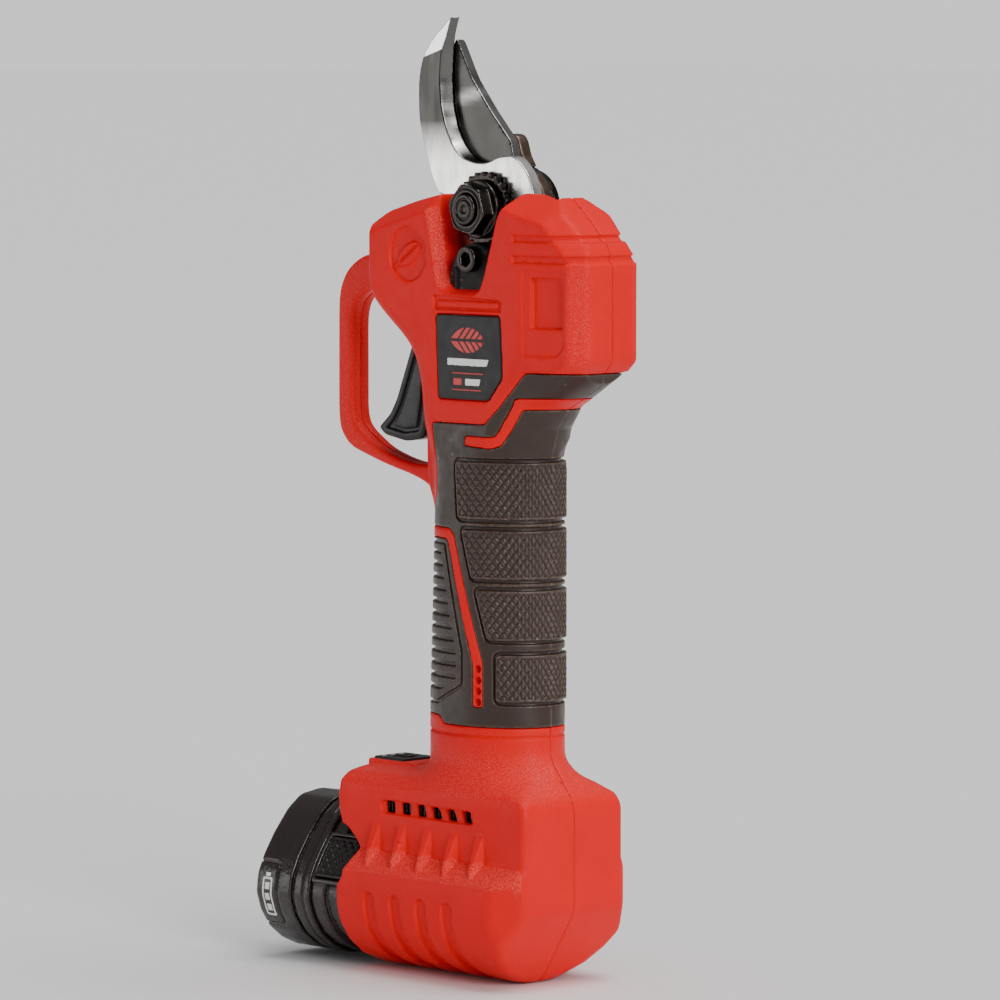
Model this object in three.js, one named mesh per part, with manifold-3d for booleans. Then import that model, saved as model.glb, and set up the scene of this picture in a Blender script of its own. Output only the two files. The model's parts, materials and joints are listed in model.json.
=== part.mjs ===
// Battery electric pruner, modelled in millimetres with +Z up along the handle.
// +X is the rear of the handle, -X the trigger and battery side, and Y = 0 the plane
// where the two housing halves meet. Heights below are measured from a design datum
// DATUM under the belly, and the finished group is lowered so that the belly rests on Z = 0.
import * as THREE from 'three';
import { mergeVertices } from 'three/addons/utils/BufferGeometryUtils.js';
import Module from 'manifold-3d';

const wasm = await Module();
wasm.setup();

// ---- driving dimensions ------------------------------------------------------------
const DATUM = 3;
const GAP = 0.3;                    // clearance between neighbouring pieces
const WALL = 2.4;                   // wall of the red housing
const HALF_SEAM = 0.15;             // half of the gap between the housing halves
const TONGUE = { x: 6, y: 2, low: 0, high: 5 };     // tab of the left half that crosses the seam

const GRIP = { a: 22.3, b: 17, low: 81, high: 172.6, thick: 1.4 };
const CORE = { a: 20.7, b: 15.4, wall: 1.9 };
const PIVOT = { x: 0.3, z: 236.8, bolt: 4.6, bore: 4.9 };

const COUNTER_BLADE = { low: -5, high: -1 };        // Y span of each plate on the pivot
const CUTTING_BLADE = { low: -0.7, high: 2.7 };
const CARRIER = { low: 3, high: 7.4 };
const FACE_GEAR = { low: 7.7, high: 10.5, teeth: 30, inner: 22, outer: 26, rim: 27 };
const PINION = { teeth: 8, root: 5.2, tip: 7.4, low: 210.7, high: 214.9, shaft: 3.9 };

const MODULE = 0.55;                // tooth size of the planetary stage
const RING_TEETH = 42;
const SUN_TEETH = 12;
const PLANET_TEETH = 15;
const PLANETS = 3;
const PLANET_ORBIT = (SUN_TEETH + PLANET_TEETH) * MODULE / 2;
const GEARBOX = { radius: 13.2, low: 168, teethLow: 173, teethHigh: 185, high: 190 };
const MOTOR = { radius: 13.1, wall: 1.2, low: 109, high: 162, shaft: 2 };

const TRIGGER_PIN = { x: -26.5, z: 204, radius: 1.5 };
const CELL = { radius: 9.2, front: -76, length: 65, spread: 9.6, low: 19 };
const CAP = { front: -82, back: -58 };
const STEM_END = 5;
const LATCH = { front: -56, back: -42, y: 22.2, z: 36.6, tilt: 0.55, height: 13.5, thick: 3.4 };
const LATCH_SPRING = { turns: 1.5, radius: 3, wire: 0.3, lift: 0.6, rise: 1.2 };
const PANEL = { x: -37, z: 66.4, tilt: 0.17, length: 21, width: 15, thick: 1.8 };
const BUTTON = { radius: 3.6, offset: -5.5 };
const SCREWS = [[21.8, 26], [25.5, 51], [-42, 57], [0, 92], [39, 200], [36, 226], [-39, 219]];
const SCREW = { shank: 1.3, head: 2.7, boss: 4.3, tip: -9.5, seat: 11.6, top: 13.8 };

// ---- materials -----------------------------------------------------------------------
function finish(color, roughness, metalness) {
  return new THREE.MeshStandardMaterial({ color, roughness, metalness });
}
const RED = finish(0xb81a1f, 0.45, 0);
const SOFT_BLACK = finish(0x262120, 0.75, 0);
const HARD_BLACK = finish(0x171717, 0.4, 0);
const BADGE_GREY = finish(0x2b2c2f, 0.35, 0);
const BRIGHT_STEEL = finish(0xc9ccd0, 0.28, 1);
const DARK_STEEL = finish(0x6d6f74, 0.3, 1);
const BLACK_STEEL = finish(0x1b1b1d, 0.35, 0.9);
const COPPER = finish(0xa85f3a, 0.4, 0.9);
const BOARD_GREEN = finish(0x1f5a34, 0.5, 0);
const CELL_BLUE = finish(0x2c5f9e, 0.4, 0);
const BRASS = finish(0xb8964a, 0.35, 1);

// ---- solids --------------------------------------------------------------------------
function solid(geometry) {
  const bare = geometry.clone();
  bare.deleteAttribute('normal');
  bare.deleteAttribute('uv');
  const merged = mergeVertices(bare, 1e-4);
  return new wasm.Manifold(new wasm.Mesh({
    numProp: 3,
    vertProperties: new Float32Array(merged.attributes.position.array),
    triVerts: new Uint32Array(merged.index.array),
  }));
}

function join(...solids) {
  return solids.reduce((whole, piece) => whole.add(piece));
}

function cut(whole, ...tools) {
  return tools.reduce((rest, tool) => rest.subtract(tool), whole);
}

function outline(points) {
  return new THREE.Shape(points.map(([x, y]) => new THREE.Vector2(x, y)));
}

function extrude(shape, depth) {
  return new THREE.ExtrudeGeometry(shape, { depth, bevelEnabled: false });
}

// A profile drawn in X and Z, spanning yLow to yHigh.
function side(points, yLow, yHigh) {
  const geometry = extrude(outline(points), yHigh - yLow);
  return solid(geometry.rotateX(Math.PI / 2).translate(0, yHigh, 0));
}

// A plan drawn in X and Y, spanning zLow to zHigh.
function plan(points, zLow, zHigh) {
  return solid(extrude(outline(points), zHigh - zLow).translate(0, 0, zLow));
}

// A cross-section drawn in Y and Z, spanning xLow to xHigh.
function across(points, xLow, xHigh) {
  const geometry = extrude(outline(points), xHigh - xLow);
  return solid(geometry.rotateX(Math.PI / 2).rotateZ(Math.PI / 2).translate(xLow, 0, 0));
}

function box(xLow, xHigh, yLow, yHigh, zLow, zHigh) {
  const geometry = new THREE.BoxGeometry(xHigh - xLow, yHigh - yLow, zHigh - zLow);
  return solid(geometry.translate((xLow + xHigh) / 2, (yLow + yHigh) / 2, (zLow + zHigh) / 2));
}

// An upright cylinder on the axis through (x, y).
function post(radius, zLow, zHigh, x = 0, y = 0, segments = 24) {
  const geometry = new THREE.CylinderGeometry(radius, radius, zHigh - zLow, segments);
  return solid(geometry.rotateX(Math.PI / 2).translate(x, y, (zLow + zHigh) / 2));
}

// A cylinder lying along Y through (x, z).
function crossbar(radius, yLow, yHigh, x, z, segments = 24) {
  const geometry = new THREE.CylinderGeometry(radius, radius, yHigh - yLow, segments);
  return solid(geometry.translate(x, (yLow + yHigh) / 2, z));
}

// A cylinder lying along X through (y, z).
function roller(radius, xLow, xHigh, y, z, segments = 20) {
  const geometry = new THREE.CylinderGeometry(radius, radius, xHigh - xLow, segments);
  return solid(geometry.rotateZ(Math.PI / 2).translate((xLow + xHigh) / 2, y, z));
}

function ringPost(outer, inner, zLow, zHigh) {
  return post(outer, zLow, zHigh).subtract(post(inner, zLow - 1, zHigh + 1));
}

function ellipse(a, b, segments = 32) {
  const angles = Array.from({ length: segments }, (_, i) => 2 * Math.PI * i / segments);
  return angles.map((angle) => [a * Math.cos(angle), b * Math.sin(angle)]);
}

// An upright tube of elliptical rings, each { z, a, b }, closed at both ends.
function stack(rings, segments = 32) {
  const position = [];
  const index = [];
  rings.forEach(({ z, a, b }) => ellipse(a, b, segments).forEach(([x, y]) => position.push(x, y, z)));
  for (let level = 0; level < rings.length - 1; level += 1) {
    for (let i = 0; i < segments; i += 1) {
      const here = level * segments + i;
      const next = level * segments + (i + 1) % segments;
      index.push(here, next, next + segments, here, next + segments, here + segments);
    }
  }
  const top = (rings.length - 1) * segments;
  for (let i = 1; i < segments - 1; i += 1) {
    index.push(0, i + 1, i, top, top + i, top + i + 1);
  }
  const geometry = new THREE.BufferGeometry();
  geometry.setAttribute('position', new THREE.Float32BufferAttribute(position, 3));
  geometry.setIndex(index);
  return solid(geometry);
}

// Moves every edge of an outline inwards by the same distance.
function inset(points, distance) {
  const turn = Math.sign(THREE.ShapeUtils.area(points.map(([x, y]) => new THREE.Vector2(x, y))));
  const count = points.length;
  const edges = points.map(([x, y], i) => {
    const [nextX, nextY] = points[(i + 1) % count];
    const length = Math.hypot(nextX - x, nextY - y);
    const direction = [(nextX - x) / length, (nextY - y) / length];
    const shift = turn * distance;
    return { start: [x - direction[1] * shift, y + direction[0] * shift], direction };
  });
  return edges.map((edge, i) => {
    const before = edges[(i + count - 1) % count];
    const cross = before.direction[0] * edge.direction[1] - before.direction[1] * edge.direction[0];
    const gapX = edge.start[0] - before.start[0];
    const gapY = edge.start[1] - before.start[1];
    if (Math.abs(cross) < 1e-6) return edge.start;
    const along = (gapX * edge.direction[1] - gapY * edge.direction[0]) / cross;
    return [before.start[0] + before.direction[0] * along, before.start[1] + before.direction[1] * along];
  });
}

// Adds the mirror image of a half outline that runs from the centre line to the centre line.
function mirrored(half) {
  const other = half.filter(([y]) => y > 0).map(([y, z]) => [-y, z]).reverse();
  return [...half, ...other];
}

// An arc about (x, z), from one angle to another, counted in degrees from +X towards +Z.
function arc(x, z, radius, from, to, steps) {
  return Array.from({ length: steps + 1 }, (_, i) => {
    const angle = THREE.MathUtils.degToRad(from + (to - from) * i / steps);
    return [x + radius * Math.cos(angle), z + radius * Math.sin(angle)];
  });
}

// A gear outline with straight-sided teeth, the first one pointing along +X.
function toothed(count, root, tip, rootWidth, tipWidth) {
  const points = [];
  for (let i = 0; i < count; i += 1) {
    const centre = 2 * Math.PI * i / count;
    const place = (radius, offset) => {
      const angle = centre + Math.asin(offset / radius);
      points.push([radius * Math.cos(angle), radius * Math.sin(angle)]);
    };
    place(root, -rootWidth / 2);
    place(tip, -tipWidth / 2);
    place(tip, tipWidth / 2);
    place(root, rootWidth / 2);
  }
  return points;
}

function piece(name, body, material) {
  const { numProp, vertProperties, triVerts } = body.getMesh();
  if (numProp !== 3) throw new Error(`${name} carries extra vertex data`);
  const geometry = new THREE.BufferGeometry();
  geometry.setAttribute('position', new THREE.Float32BufferAttribute(vertProperties, 3));
  geometry.setIndex(Array.from(triVerts));
  geometry.computeVertexNormals();
  const mesh = new THREE.Mesh(geometry, material);
  mesh.name = name;
  return mesh;
}

// ---- outlines of the housing -----------------------------------------------------------
const BASE_PROFILE = [
  [-45.6, DATUM], [14, DATUM], [18.9, 5.2], [32.2, 26.3], [32.6, 58], [31, 61.5], [25, 66],
  [-25, 68.6], [-47, 65], [-49.6, 62], [-49.6, 52], [-45.6, 30],
];
const BASE_SECTION = mirrored([
  [0, DATUM], [5, DATUM], [10, 4.4], [16.5, 7.2], [22, 11.8], [25.8, 17.6], [27.4, 23.5],
  [27.4, 30], [26.9, 34.2], [21.2, 35.4], [21, 58], [19.5, 62.5], [16, 66.5], [0, 69],
]);
const BASE_PLAN = [
  [-49.6, -24], [-46, -27.5], [23, -27.5], [29, -22.5], [32.6, -18], [32.6, 18], [29, 22.5],
  [23, 27.5], [-46, 27.5], [-49.6, 24],
];
const NECK = [
  { z: 61, a: 29.5, b: 19.6 }, { z: 65.5, a: 26, b: 18.8 }, { z: 70, a: 23.4, b: 17.6 },
  { z: 75, a: GRIP.a, b: GRIP.b }, { z: 80.7, a: GRIP.a, b: GRIP.b },
];
const HEAD_PROFILE = [
  [-22.3, 163], [-22.3, 189], [-25.8, 194.4], [-31, 199.4], [-39, 205.6], [-44, 210.8],
  [-46, 216.4], [-46, 224.3], [-43.5, 231], [-38, 235.5], [-25, 239], [-10, 241.8],
  [29.9, 241.9], [38.3, 236], [46.6, 227], [48.7, 221], [48.7, 188.3], [35.6, 179.5], [20.7, 165],
];
const HEAD_PLAN = [
  [-48, -10], [-42, -16], [42, -16], [48.7, -10], [48.7, 10], [42, 16], [-42, 16], [-48, 10],
];
const REAR_WEDGE = [
  [19.5, GRIP.high + GAP], [29, 188.6], [60, 188.6], [60, 150], [19.5, 150],
];
const SLOT = [
  [-16.5, 250], [-14.7, 234.8], [-12.7, 222.4], [-11.6, 215.5], [-8, 213], [4, 213], [7.5, 216.1],
  [11.5, 223.7], [14.4, 234.1], [20.5, 245],
];
const GUARD_OUTER = [
  [-44, 223], [-56, 219.6], [-62.7, 215.7], [-67.1, 210.7], [-68.3, 205.9], [-68.4, 172.3],
  [-66.8, 167.6], [-62.1, 163], [-48.7, 158.9], [-34.6, 155.6], [-28.4, 153.6], [-23.8, 148],
  [-19, 146], [-19, 205], [-30, 223],
];
const GUARD_INNER = [
  [-62.4, 203], [-60, 208], [-54, 211], [-42, 212], [-36, 203], [-24, 190], [-22, 158.5],
  [-32, 157.8], [-40.6, 159], [-50.7, 162], [-60.5, 168], [-62.4, 172],
];
const GUARD_HALF = 4;

const BATTERY_SECTION = mirrored([
  [0, 4.3], [9.7, 5], [16.1, 7.8], [21.4, 11.9], [25, 17.5], [26.8, 23.3], [26, 29.2],
  [23.4, 34.9], [19.1, 41.5], [13.3, 48.5], [8, 52.4], [0, 53.6],
]);
const STEM_SECTION = mirrored([
  [0, 7.6], [11, 7.6], [17.5, 10.5], [20.9, 16], [20.6, 22.5], [12.6, 36.5], [9.5, 43], [5, 46.4],
  [0, 47],
]);

// ---- housing ---------------------------------------------------------------------------
function baseBlock(depth) {
  const profile = side(inset(BASE_PROFILE, depth), -40, 40);
  const body = across(inset(BASE_SECTION, depth), -70, 60);
  return profile.intersect(body).intersect(plan(inset(BASE_PLAN, depth), -10, 100));
}

function neck(depth) {
  return stack(NECK.map(({ z, a, b }) => ({ z, a: a - depth, b: b - depth })));
}

function head(depth) {
  return side(inset(HEAD_PROFILE, depth), -40, 40).intersect(plan(inset(HEAD_PLAN, depth), 150, 260));
}

function wedgeZone(depth) {
  return side(inset(REAR_WEDGE, depth), -40, 40);
}

function guard(grow) {
  const outer = side(inset(GUARD_OUTER, -grow), -GUARD_HALF - grow, GUARD_HALF + grow);
  return outer.subtract(side(inset(GUARD_INNER, grow), -30, 30));
}

function latchBlock(sign, grow, inwards) {
  const depth = LATCH.thick + 2 * grow + inwards;
  const geometry = new THREE.BoxGeometry(
    LATCH.back - LATCH.front + 2 * grow, depth, LATCH.height + 2 * grow);
  geometry.translate(0, -sign * (inwards + LATCH.thick) / 2, 0).rotateX(sign * LATCH.tilt);
  return solid(geometry.translate((LATCH.front + LATCH.back) / 2, sign * LATCH.y, LATCH.z));
}

function batteryMouth() {
  const stem = across(inset(STEM_SECTION, -0.7), -60, STEM_END + 2);
  const throat = across(inset(BATTERY_SECTION, 1.6), -60, -38.4);
  return join(stem, throat, latchBlock(-1, 1.2, 6), latchBlock(1, 1.2, 6));
}

function vents() {
  return Array.from({ length: 6 }, (_, i) => {
    const x = -27.5 + 7 * i;
    return box(x, x + 4.4, -30, 30, 52.6, 55.6);
  });
}

function panelPlate(grow) {
  const geometry = new THREE.BoxGeometry(
    PANEL.length + 2 * grow, PANEL.width + 2 * grow, PANEL.thick + 20 * Math.min(grow, 1));
  return solid(geometry.rotateY(-PANEL.tilt).translate(PANEL.x, 0, PANEL.z));
}

function mechanismSpace() {
  return join(
    box(-30, 31, -5.5, 11.2, 207, 260),
    side(SLOT, -40, 40),
    box(-31, 32, -13.4, 13.4, 205, 209),
  );
}

function triggerOpening() {
  return side([[-38, 208.5], [-19.4, 208.5], [-19.4, 165], [-34, 165], [-44, 190]], -6.1, 6.1);
}

function screwBosses() {
  return join(...SCREWS.map(([x, z]) => crossbar(SCREW.boss, -30, 30, x, z, 12)));
}

function screwHoles() {
  return join(...SCREWS.flatMap(([x, z]) => [
    crossbar(SCREW.shank + GAP, SCREW.tip - 1, 30, x, z, 10),
    crossbar(SCREW.head + 0.4, SCREW.seat - GAP, 30, x, z, 12),
  ]));
}

function motorRibs() {
  const inside = stack([{ z: 60, a: CORE.a - 1, b: CORE.b - 1 }, { z: 205, a: CORE.a - 1, b: CORE.b - 1 }]);
  const slabs = [110, 158, 176].map((z) => box(-30, 30, -30, 30, z, z + 2));
  return join(...slabs).intersect(inside).subtract(post(MOTOR.radius + GAP, 90, 200));
}

// The middle of the belly is one flat piece, because this tab keeps the seam clear of it.
function bellyTongue(grow) {
  const { x, y, low, high } = TONGUE;
  return box(-x - grow, x + grow, -1, y + grow, low, high + grow);
}

function pinBosses() {
  const boss = crossbar(3.6, -14.5, 14.5, TRIGGER_PIN.x, TRIGGER_PIN.z, 20);
  return boss.subtract(box(-40, 0, -6.1, 6.1, 190, 215));
}

function housing() {
  const wedge = wedgeZone(0);
  const handle = stack([{ z: 70, a: CORE.a, b: CORE.b }, { z: 176, a: CORE.a, b: CORE.b }]);
  const headOuter = join(head(0).subtract(wedge), head(GRIP.thick + GAP).intersect(wedge));
  const inner = join(
    baseBlock(WALL),
    neck(WALL),
    stack([{ z: 70, a: CORE.a - CORE.wall, b: CORE.b - CORE.wall },
      { z: 190, a: CORE.a - CORE.wall, b: CORE.b - CORE.wall }]),
    head(GRIP.thick + GAP + 1.5).intersect(side(HEAD_PROFILE, -13.2, 13.2)),
  );
  const frontWall = baseBlock(1).intersect(box(-60, -41, -40, 40, 0, 51));
  const outer = join(baseBlock(0), neck(0), handle, headOuter, guard(0));
  const bosses = screwBosses().intersect(outer);
  let shell = join(outer.subtract(inner), frontWall, bosses, motorRibs(), pinBosses());
  shell = cut(
    shell, mechanismSpace(), triggerOpening(), batteryMouth(), screwHoles(), ...vents(),
    panelPlate(GAP), post(GEARBOX.radius + GAP, 160, 206),
    crossbar(TRIGGER_PIN.radius + 0.1, -10.3, 10.3, TRIGGER_PIN.x, TRIGGER_PIN.z, 20),
    across(mirrored([[0, 60], [9, 60], [9, 64.5], [0, 64.5]]), -47, -24),
  );
  const left = shell.intersect(join(box(-90, 90, -60, -HALF_SEAM, -10, 300), bellyTongue(0)));
  const right = shell.intersect(box(-90, 90, HALF_SEAM, 60, -10, 300)).subtract(bellyTongue(GAP));
  return [left, right];
}

// The soft skin of the handle, with the wedge that it fills below the head's rear bulge.
function grip() {
  const sleeve = stack([{ z: GRIP.low, a: GRIP.a, b: GRIP.b }, { z: GRIP.high, a: GRIP.a, b: GRIP.b }]);
  const wedge = head(0).intersect(wedgeZone(GAP));
  const tube = join(sleeve, wedge).subtract(
    stack([{ z: 60, a: CORE.a + 0.25, b: CORE.b + 0.25 }, { z: 200, a: CORE.a + 0.25, b: CORE.b + 0.25 }]));
  const core = head(GRIP.thick).intersect(side(inset(REAR_WEDGE, -5), -40, 40));
  const headAbove = head(-GAP).subtract(wedgeZone(0));
  const skin = cut(tube, core, guard(GAP), headAbove);
  const left = skin.intersect(box(-90, 90, -60, -HALF_SEAM, -10, 300));
  const right = skin.intersect(box(-90, 90, HALF_SEAM, 60, -10, 300));
  return [left, right];
}

function badge(sign) {
  const plate = [[-10.6, 180.6], [10.4, 180.6], [17.4, 187.6], [16, 205.4], [-11.4, 205.4]];
  const near = [16.05 + GAP, 17.2].map((y) => sign * y).sort((low, high) => low - high);
  return side(plate, near[0], near[1]);
}

// ---- cutting head ------------------------------------------------------------------------
function counterBlade() {
  const hook = [
    ...arc(PIVOT.x, PIVOT.z, 20, 168, 378, 28),
    [17.5, 247.3], [13.4, 251.5], [10.4, 253], [4.2, 252.4], [-2, 250.4], [-8, 250.6], [-13.6, 255.3],
    [-17.2, 261], [-19.1, 267.4], [-19.6, 276], [-18.8, 284], [-16.9, 293.5], [-16.1, 294.9],
    [-24, 288.9], [-29, 282], [-30.9, 272.3], [-30.6, 263.7], [-28.2, 255.1], [-25.1, 246.6],
    [-21.9, 240.9],
  ];
  return cut(
    side(hook, COUNTER_BLADE.low, COUNTER_BLADE.high),
    crossbar(PIVOT.bore, -20, 20, PIVOT.x, PIVOT.z),
    crossbar(2.2, -20, 20, 1.5, 221.9, 20),
  );
}

function cuttingBlade() {
  const blade = [
    ...arc(PIVOT.x, PIVOT.z, 15.5, 170, 420, 30),
    [6.5, 252.7], [5.5, 257], [-3.3, 266.1], [-11.7, 276], [-18.5, 288.2], [-21.5, 283], [-23.3, 274],
    [-22.6, 262], [-19.5, 251], [-16.2, 243],
  ];
  return cut(
    side(blade, CUTTING_BLADE.low, CUTTING_BLADE.high),
    crossbar(PIVOT.bore, -20, 20, PIVOT.x, PIVOT.z),
  );
}

function bladeCarrier() {
  const plate = [
    ...arc(PIVOT.x, PIVOT.z, 16.2, 112, 375, 30),
    [14.2, 244.2], [9.1, 249.1], [5.5, 254.7], [5.1, 257.3], [0.5, 260], [-3.5, 258],
  ];
  return cut(
    side(plate, CARRIER.low, CARRIER.high),
    crossbar(PIVOT.bore, -20, 20, PIVOT.x, PIVOT.z),
  );
}

// A face gear: its teeth stand on the near face, in a row about the pivot.
function driveGear() {
  const web = [
    ...arc(PIVOT.x, PIVOT.z, FACE_GEAR.rim, -104, -14, 14),
    ...arc(PIVOT.x, PIVOT.z, 13, 10, 246, 20),
  ];
  const tooth = (step) => {
    const geometry = new THREE.BoxGeometry(1.6, 2.2, FACE_GEAR.outer - FACE_GEAR.inner);
    geometry.translate(0, FACE_GEAR.low - 0.9, -(FACE_GEAR.inner + FACE_GEAR.outer) / 2);
    geometry.rotateY(-2 * Math.PI * (step + 0.5) / FACE_GEAR.teeth);
    return solid(geometry.translate(PIVOT.x, 0, PIVOT.z));
  };
  const teeth = Array.from({ length: 7 }, (_, i) => tooth(i - 1));
  const body = join(side(web, FACE_GEAR.low, FACE_GEAR.high), ...teeth);
  return body.subtract(crossbar(PIVOT.bore, -20, 20, PIVOT.x, PIVOT.z));
}

function pivotBolt() {
  return join(
    crossbar(PIVOT.bolt, -15.6, 12, PIVOT.x, PIVOT.z),
    crossbar(11.8, 11.4, 14.2, PIVOT.x, PIVOT.z),
    crossbar(8.4, 14, 15.4, PIVOT.x, PIVOT.z, 6),
  );
}

function pivotNut() {
  return cut(
    join(
      crossbar(8, -14.6, -9.5, PIVOT.x, PIVOT.z, 6),
      crossbar(9, -10, -8.3, PIVOT.x, PIVOT.z),
    ),
    crossbar(PIVOT.bore, -20, 0, PIVOT.x, PIVOT.z),
  );
}

function lockWasher() {
  const disc = toothed(24, 10.4, 11.3, 1.9, 1.1).map(([x, z]) => [x + PIVOT.x, z + PIVOT.z]);
  return side(disc, -7.9, -5.4).subtract(crossbar(PIVOT.bore, -20, 0, PIVOT.x, PIVOT.z));
}

function gearFrame() {
  const upright = across([
    [-12.5, 204.3], [-8.7, 204.3], [-8.7, 216.6], [-5.4, 218.5], [-5.4, 224.6], [-12.5, 224.6],
  ], -9, 10);
  const flange = post(13, 197, 204.5).intersect(box(-13, 13, -12.5, 12.5, 190, 210));
  return cut(
    join(upright, flange),
    post(8.2, 190, 203.3), post(5.4, 190, 220),
    crossbar(2.2, -20, 0, 1.5, 221.9, 20),
  );
}

function lockScrew() {
  const body = join(
    crossbar(1.9, -13, -1.4, 1.5, 221.9, 20),
    crossbar(4, -16, -12.8, 1.5, 221.9, 24),
  );
  return body.subtract(crossbar(2, -20, -14, 1.5, 221.9, 6));
}

function pinion() {
  const gear = plan(toothed(PINION.teeth, PINION.root, PINION.tip, 2.6, 1.5), PINION.low, PINION.high);
  return join(
    post(PINION.shaft, 197.3, 216.2),
    gear.rotate([0, 0, 90]),
    post(4.9, 204.8, 210.9),
  );
}

// ---- gearbox and motor -----------------------------------------------------------------------
function spurOutline(teeth) {
  const pitch = teeth * MODULE / 2;
  return toothed(teeth, pitch - 0.6, pitch + 0.4, 0.8, 0.4);
}

function gearboxCase() {
  const pitch = RING_TEETH * MODULE / 2;
  const shell = post(GEARBOX.radius, GEARBOX.low, GEARBOX.high, 0, 0, 42);
  const gaps = toothed(RING_TEETH, pitch - 0.4, pitch + 0.6, 1.0, 1.35);
  const ring = plan(gaps, GEARBOX.teethLow - 0.8, GEARBOX.teethHigh + 1);
  return cut(
    shell, ring,
    post(pitch + 0.6, GEARBOX.teethHigh + 0.9, GEARBOX.high + 1, 0, 0, 42),
    post(4.6, GEARBOX.low - 1, GEARBOX.low + 9),
  );
}

function gearboxCover() {
  return cut(
    join(post(GEARBOX.radius, 190.3, 192.6), post(8, 192, 196.6)),
    post(4.2, 180, 200),
  );
}

function planetCarrier() {
  const pins = Array.from({ length: PLANETS }, (_, i) => {
    const angle = 2 * Math.PI * i / PLANETS;
    const x = PLANET_ORBIT * Math.cos(angle);
    const y = PLANET_ORBIT * Math.sin(angle);
    return post(1.3, GEARBOX.teethLow, GEARBOX.teethHigh + 2, x, y, 20);
  });
  return join(post(11.4, 186.6, 189.6), post(PINION.shaft, 189.5, 197), ...pins);
}

function planetGear(i) {
  const angle = 2 * Math.PI * i / PLANETS;
  const gear = plan(spurOutline(PLANET_TEETH), GEARBOX.teethLow + 0.3, GEARBOX.teethHigh)
    .subtract(post(1.6, 160, 200, 0, 0, 20));
  return gear.translate([PLANET_ORBIT, 0, 0]).rotate([0, 0, THREE.MathUtils.radToDeg(angle)]);
}

function rotorShaft() {
  return join(
    post(MOTOR.shaft, 104.5, GEARBOX.teethLow + 0.2, 0, 0, 24),
    plan(spurOutline(SUN_TEETH), GEARBOX.teethLow, GEARBOX.teethHigh - 0.2),
  );
}

function motorRotor() {
  return ringPost(6.9, MOTOR.shaft + 0.2, 117, 149);
}

function motorStator() {
  const teeth = Array.from({ length: 6 }, (_, i) => (
    box(6, 12, -1.7, 1.7, 119, 147).rotate([0, 0, 60 * i])
  ));
  const yoke = ringPost(MOTOR.radius - MOTOR.wall - 0.25, 9.9, 119, 147);
  return join(yoke, ...teeth).subtract(post(7.3, 100, 160)).intersect(post(11.6, 100, 160));
}

function motorCan() {
  const can = post(MOTOR.radius, MOTOR.low, MOTOR.high);
  return cut(
    can,
    post(MOTOR.radius - MOTOR.wall, MOTOR.low - 1, 155.5),
    post(5.1, 150, 160.6), post(2.7, 150, 170, 0, 0, 24),
  );
}

function motorEndCap() {
  return ringPost(MOTOR.radius, 5.1, 105.5, MOTOR.low - GAP);
}

function bearing(zLow, zHigh, outer, inner) {
  return ringPost(outer, inner, zLow, zHigh);
}

// ---- trigger -----------------------------------------------------------------------------------
function trigger() {
  const profile = [
    ...arc(TRIGGER_PIN.x, TRIGGER_PIN.z, 3.6, 0, 180, 8),
    [-33.8, 194.7], [-37.7, 185.3], [-40.8, 177.8], [-43.9, 172.9], [-49, 168.7], [-46.3, 166.4],
    [-36.9, 164.8], [-29.1, 166], [-27.6, 168.4], [-26, 176], [-24, 192],
  ];
  return cut(
    side(profile, -5.5, 5.5),
    crossbar(TRIGGER_PIN.radius + 0.25, -20, 20, TRIGGER_PIN.x, TRIGGER_PIN.z, 20),
    side([[-22, 210], [-22, 198], [-31, 198], [-31, 210]], -2, 2),
  );
}

// A torsion spring round the pin, with one leg on the trigger and one on the housing.
function triggerSpring() {
  const turns = 2;
  const coil = new THREE.Curve();
  coil.getPoint = (t) => {
    const angle = 2 * Math.PI * turns * t;
    return new THREE.Vector3(2.6 * Math.cos(angle), -1.3 + 2.6 * t, 2.6 * Math.sin(angle));
  };
  const wire = new THREE.Shape(ellipse(0.35, 0.35, 5).map(([x, y]) => new THREE.Vector2(x, y)));
  const path = new THREE.ExtrudeGeometry(wire, { steps: 20, extrudePath: coil, bevelEnabled: false });
  return solid(path.translate(TRIGGER_PIN.x, 0, TRIGGER_PIN.z));
}

function triggerSwitch() {
  return join(box(-18.2, -14.2, -5, 5, 179, 193), box(-18.6, -18, -1.2, 1.2, 185, 188));
}

// ---- electronics ---------------------------------------------------------------------------------
function controlBoard() {
  const parts = [[-30, 4, 10], [-12, 6, 7], [4, 3, 9]].map(([x, height, width]) => (
    box(x, x + 11, -width, width, 52, 53 + height)
  ));
  return join(box(-36, 20, -15, 15, 51.6, 53), ...parts);
}

function indicatorPanel() {
  const button = post(BUTTON.radius + GAP, -10, 10, BUTTON.offset, 0, 24);
  const plate = box(-PANEL.length / 2, PANEL.length / 2, -PANEL.width / 2, PANEL.width / 2, -0.9, 0.9);
  return plate.subtract(button).rotate([0, THREE.MathUtils.radToDeg(-PANEL.tilt), 0])
    .translate([PANEL.x, 0, PANEL.z]);
}

function powerButton() {
  const cap = join(
    post(BUTTON.radius, -1.6, 1.6, BUTTON.offset, 0, 24),
    post(BUTTON.radius + 1.2, -2.6, -1.5, BUTTON.offset, 0, 24),
  );
  return cap.rotate([0, THREE.MathUtils.radToDeg(-PANEL.tilt), 0]).translate([PANEL.x, 0, PANEL.z]);
}

function terminalBlock() {
  return cut(box(9, 15, -14, 14, 12, 30), box(0, 20, -9.2, -6.8, 16, 26), box(0, 20, 6.8, 9.2, 16, 26));
}

function terminalBlade(sign) {
  return box(1.5, 16.5, sign * 8 - 0.6, sign * 8 + 0.6, 17, 25);
}

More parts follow.
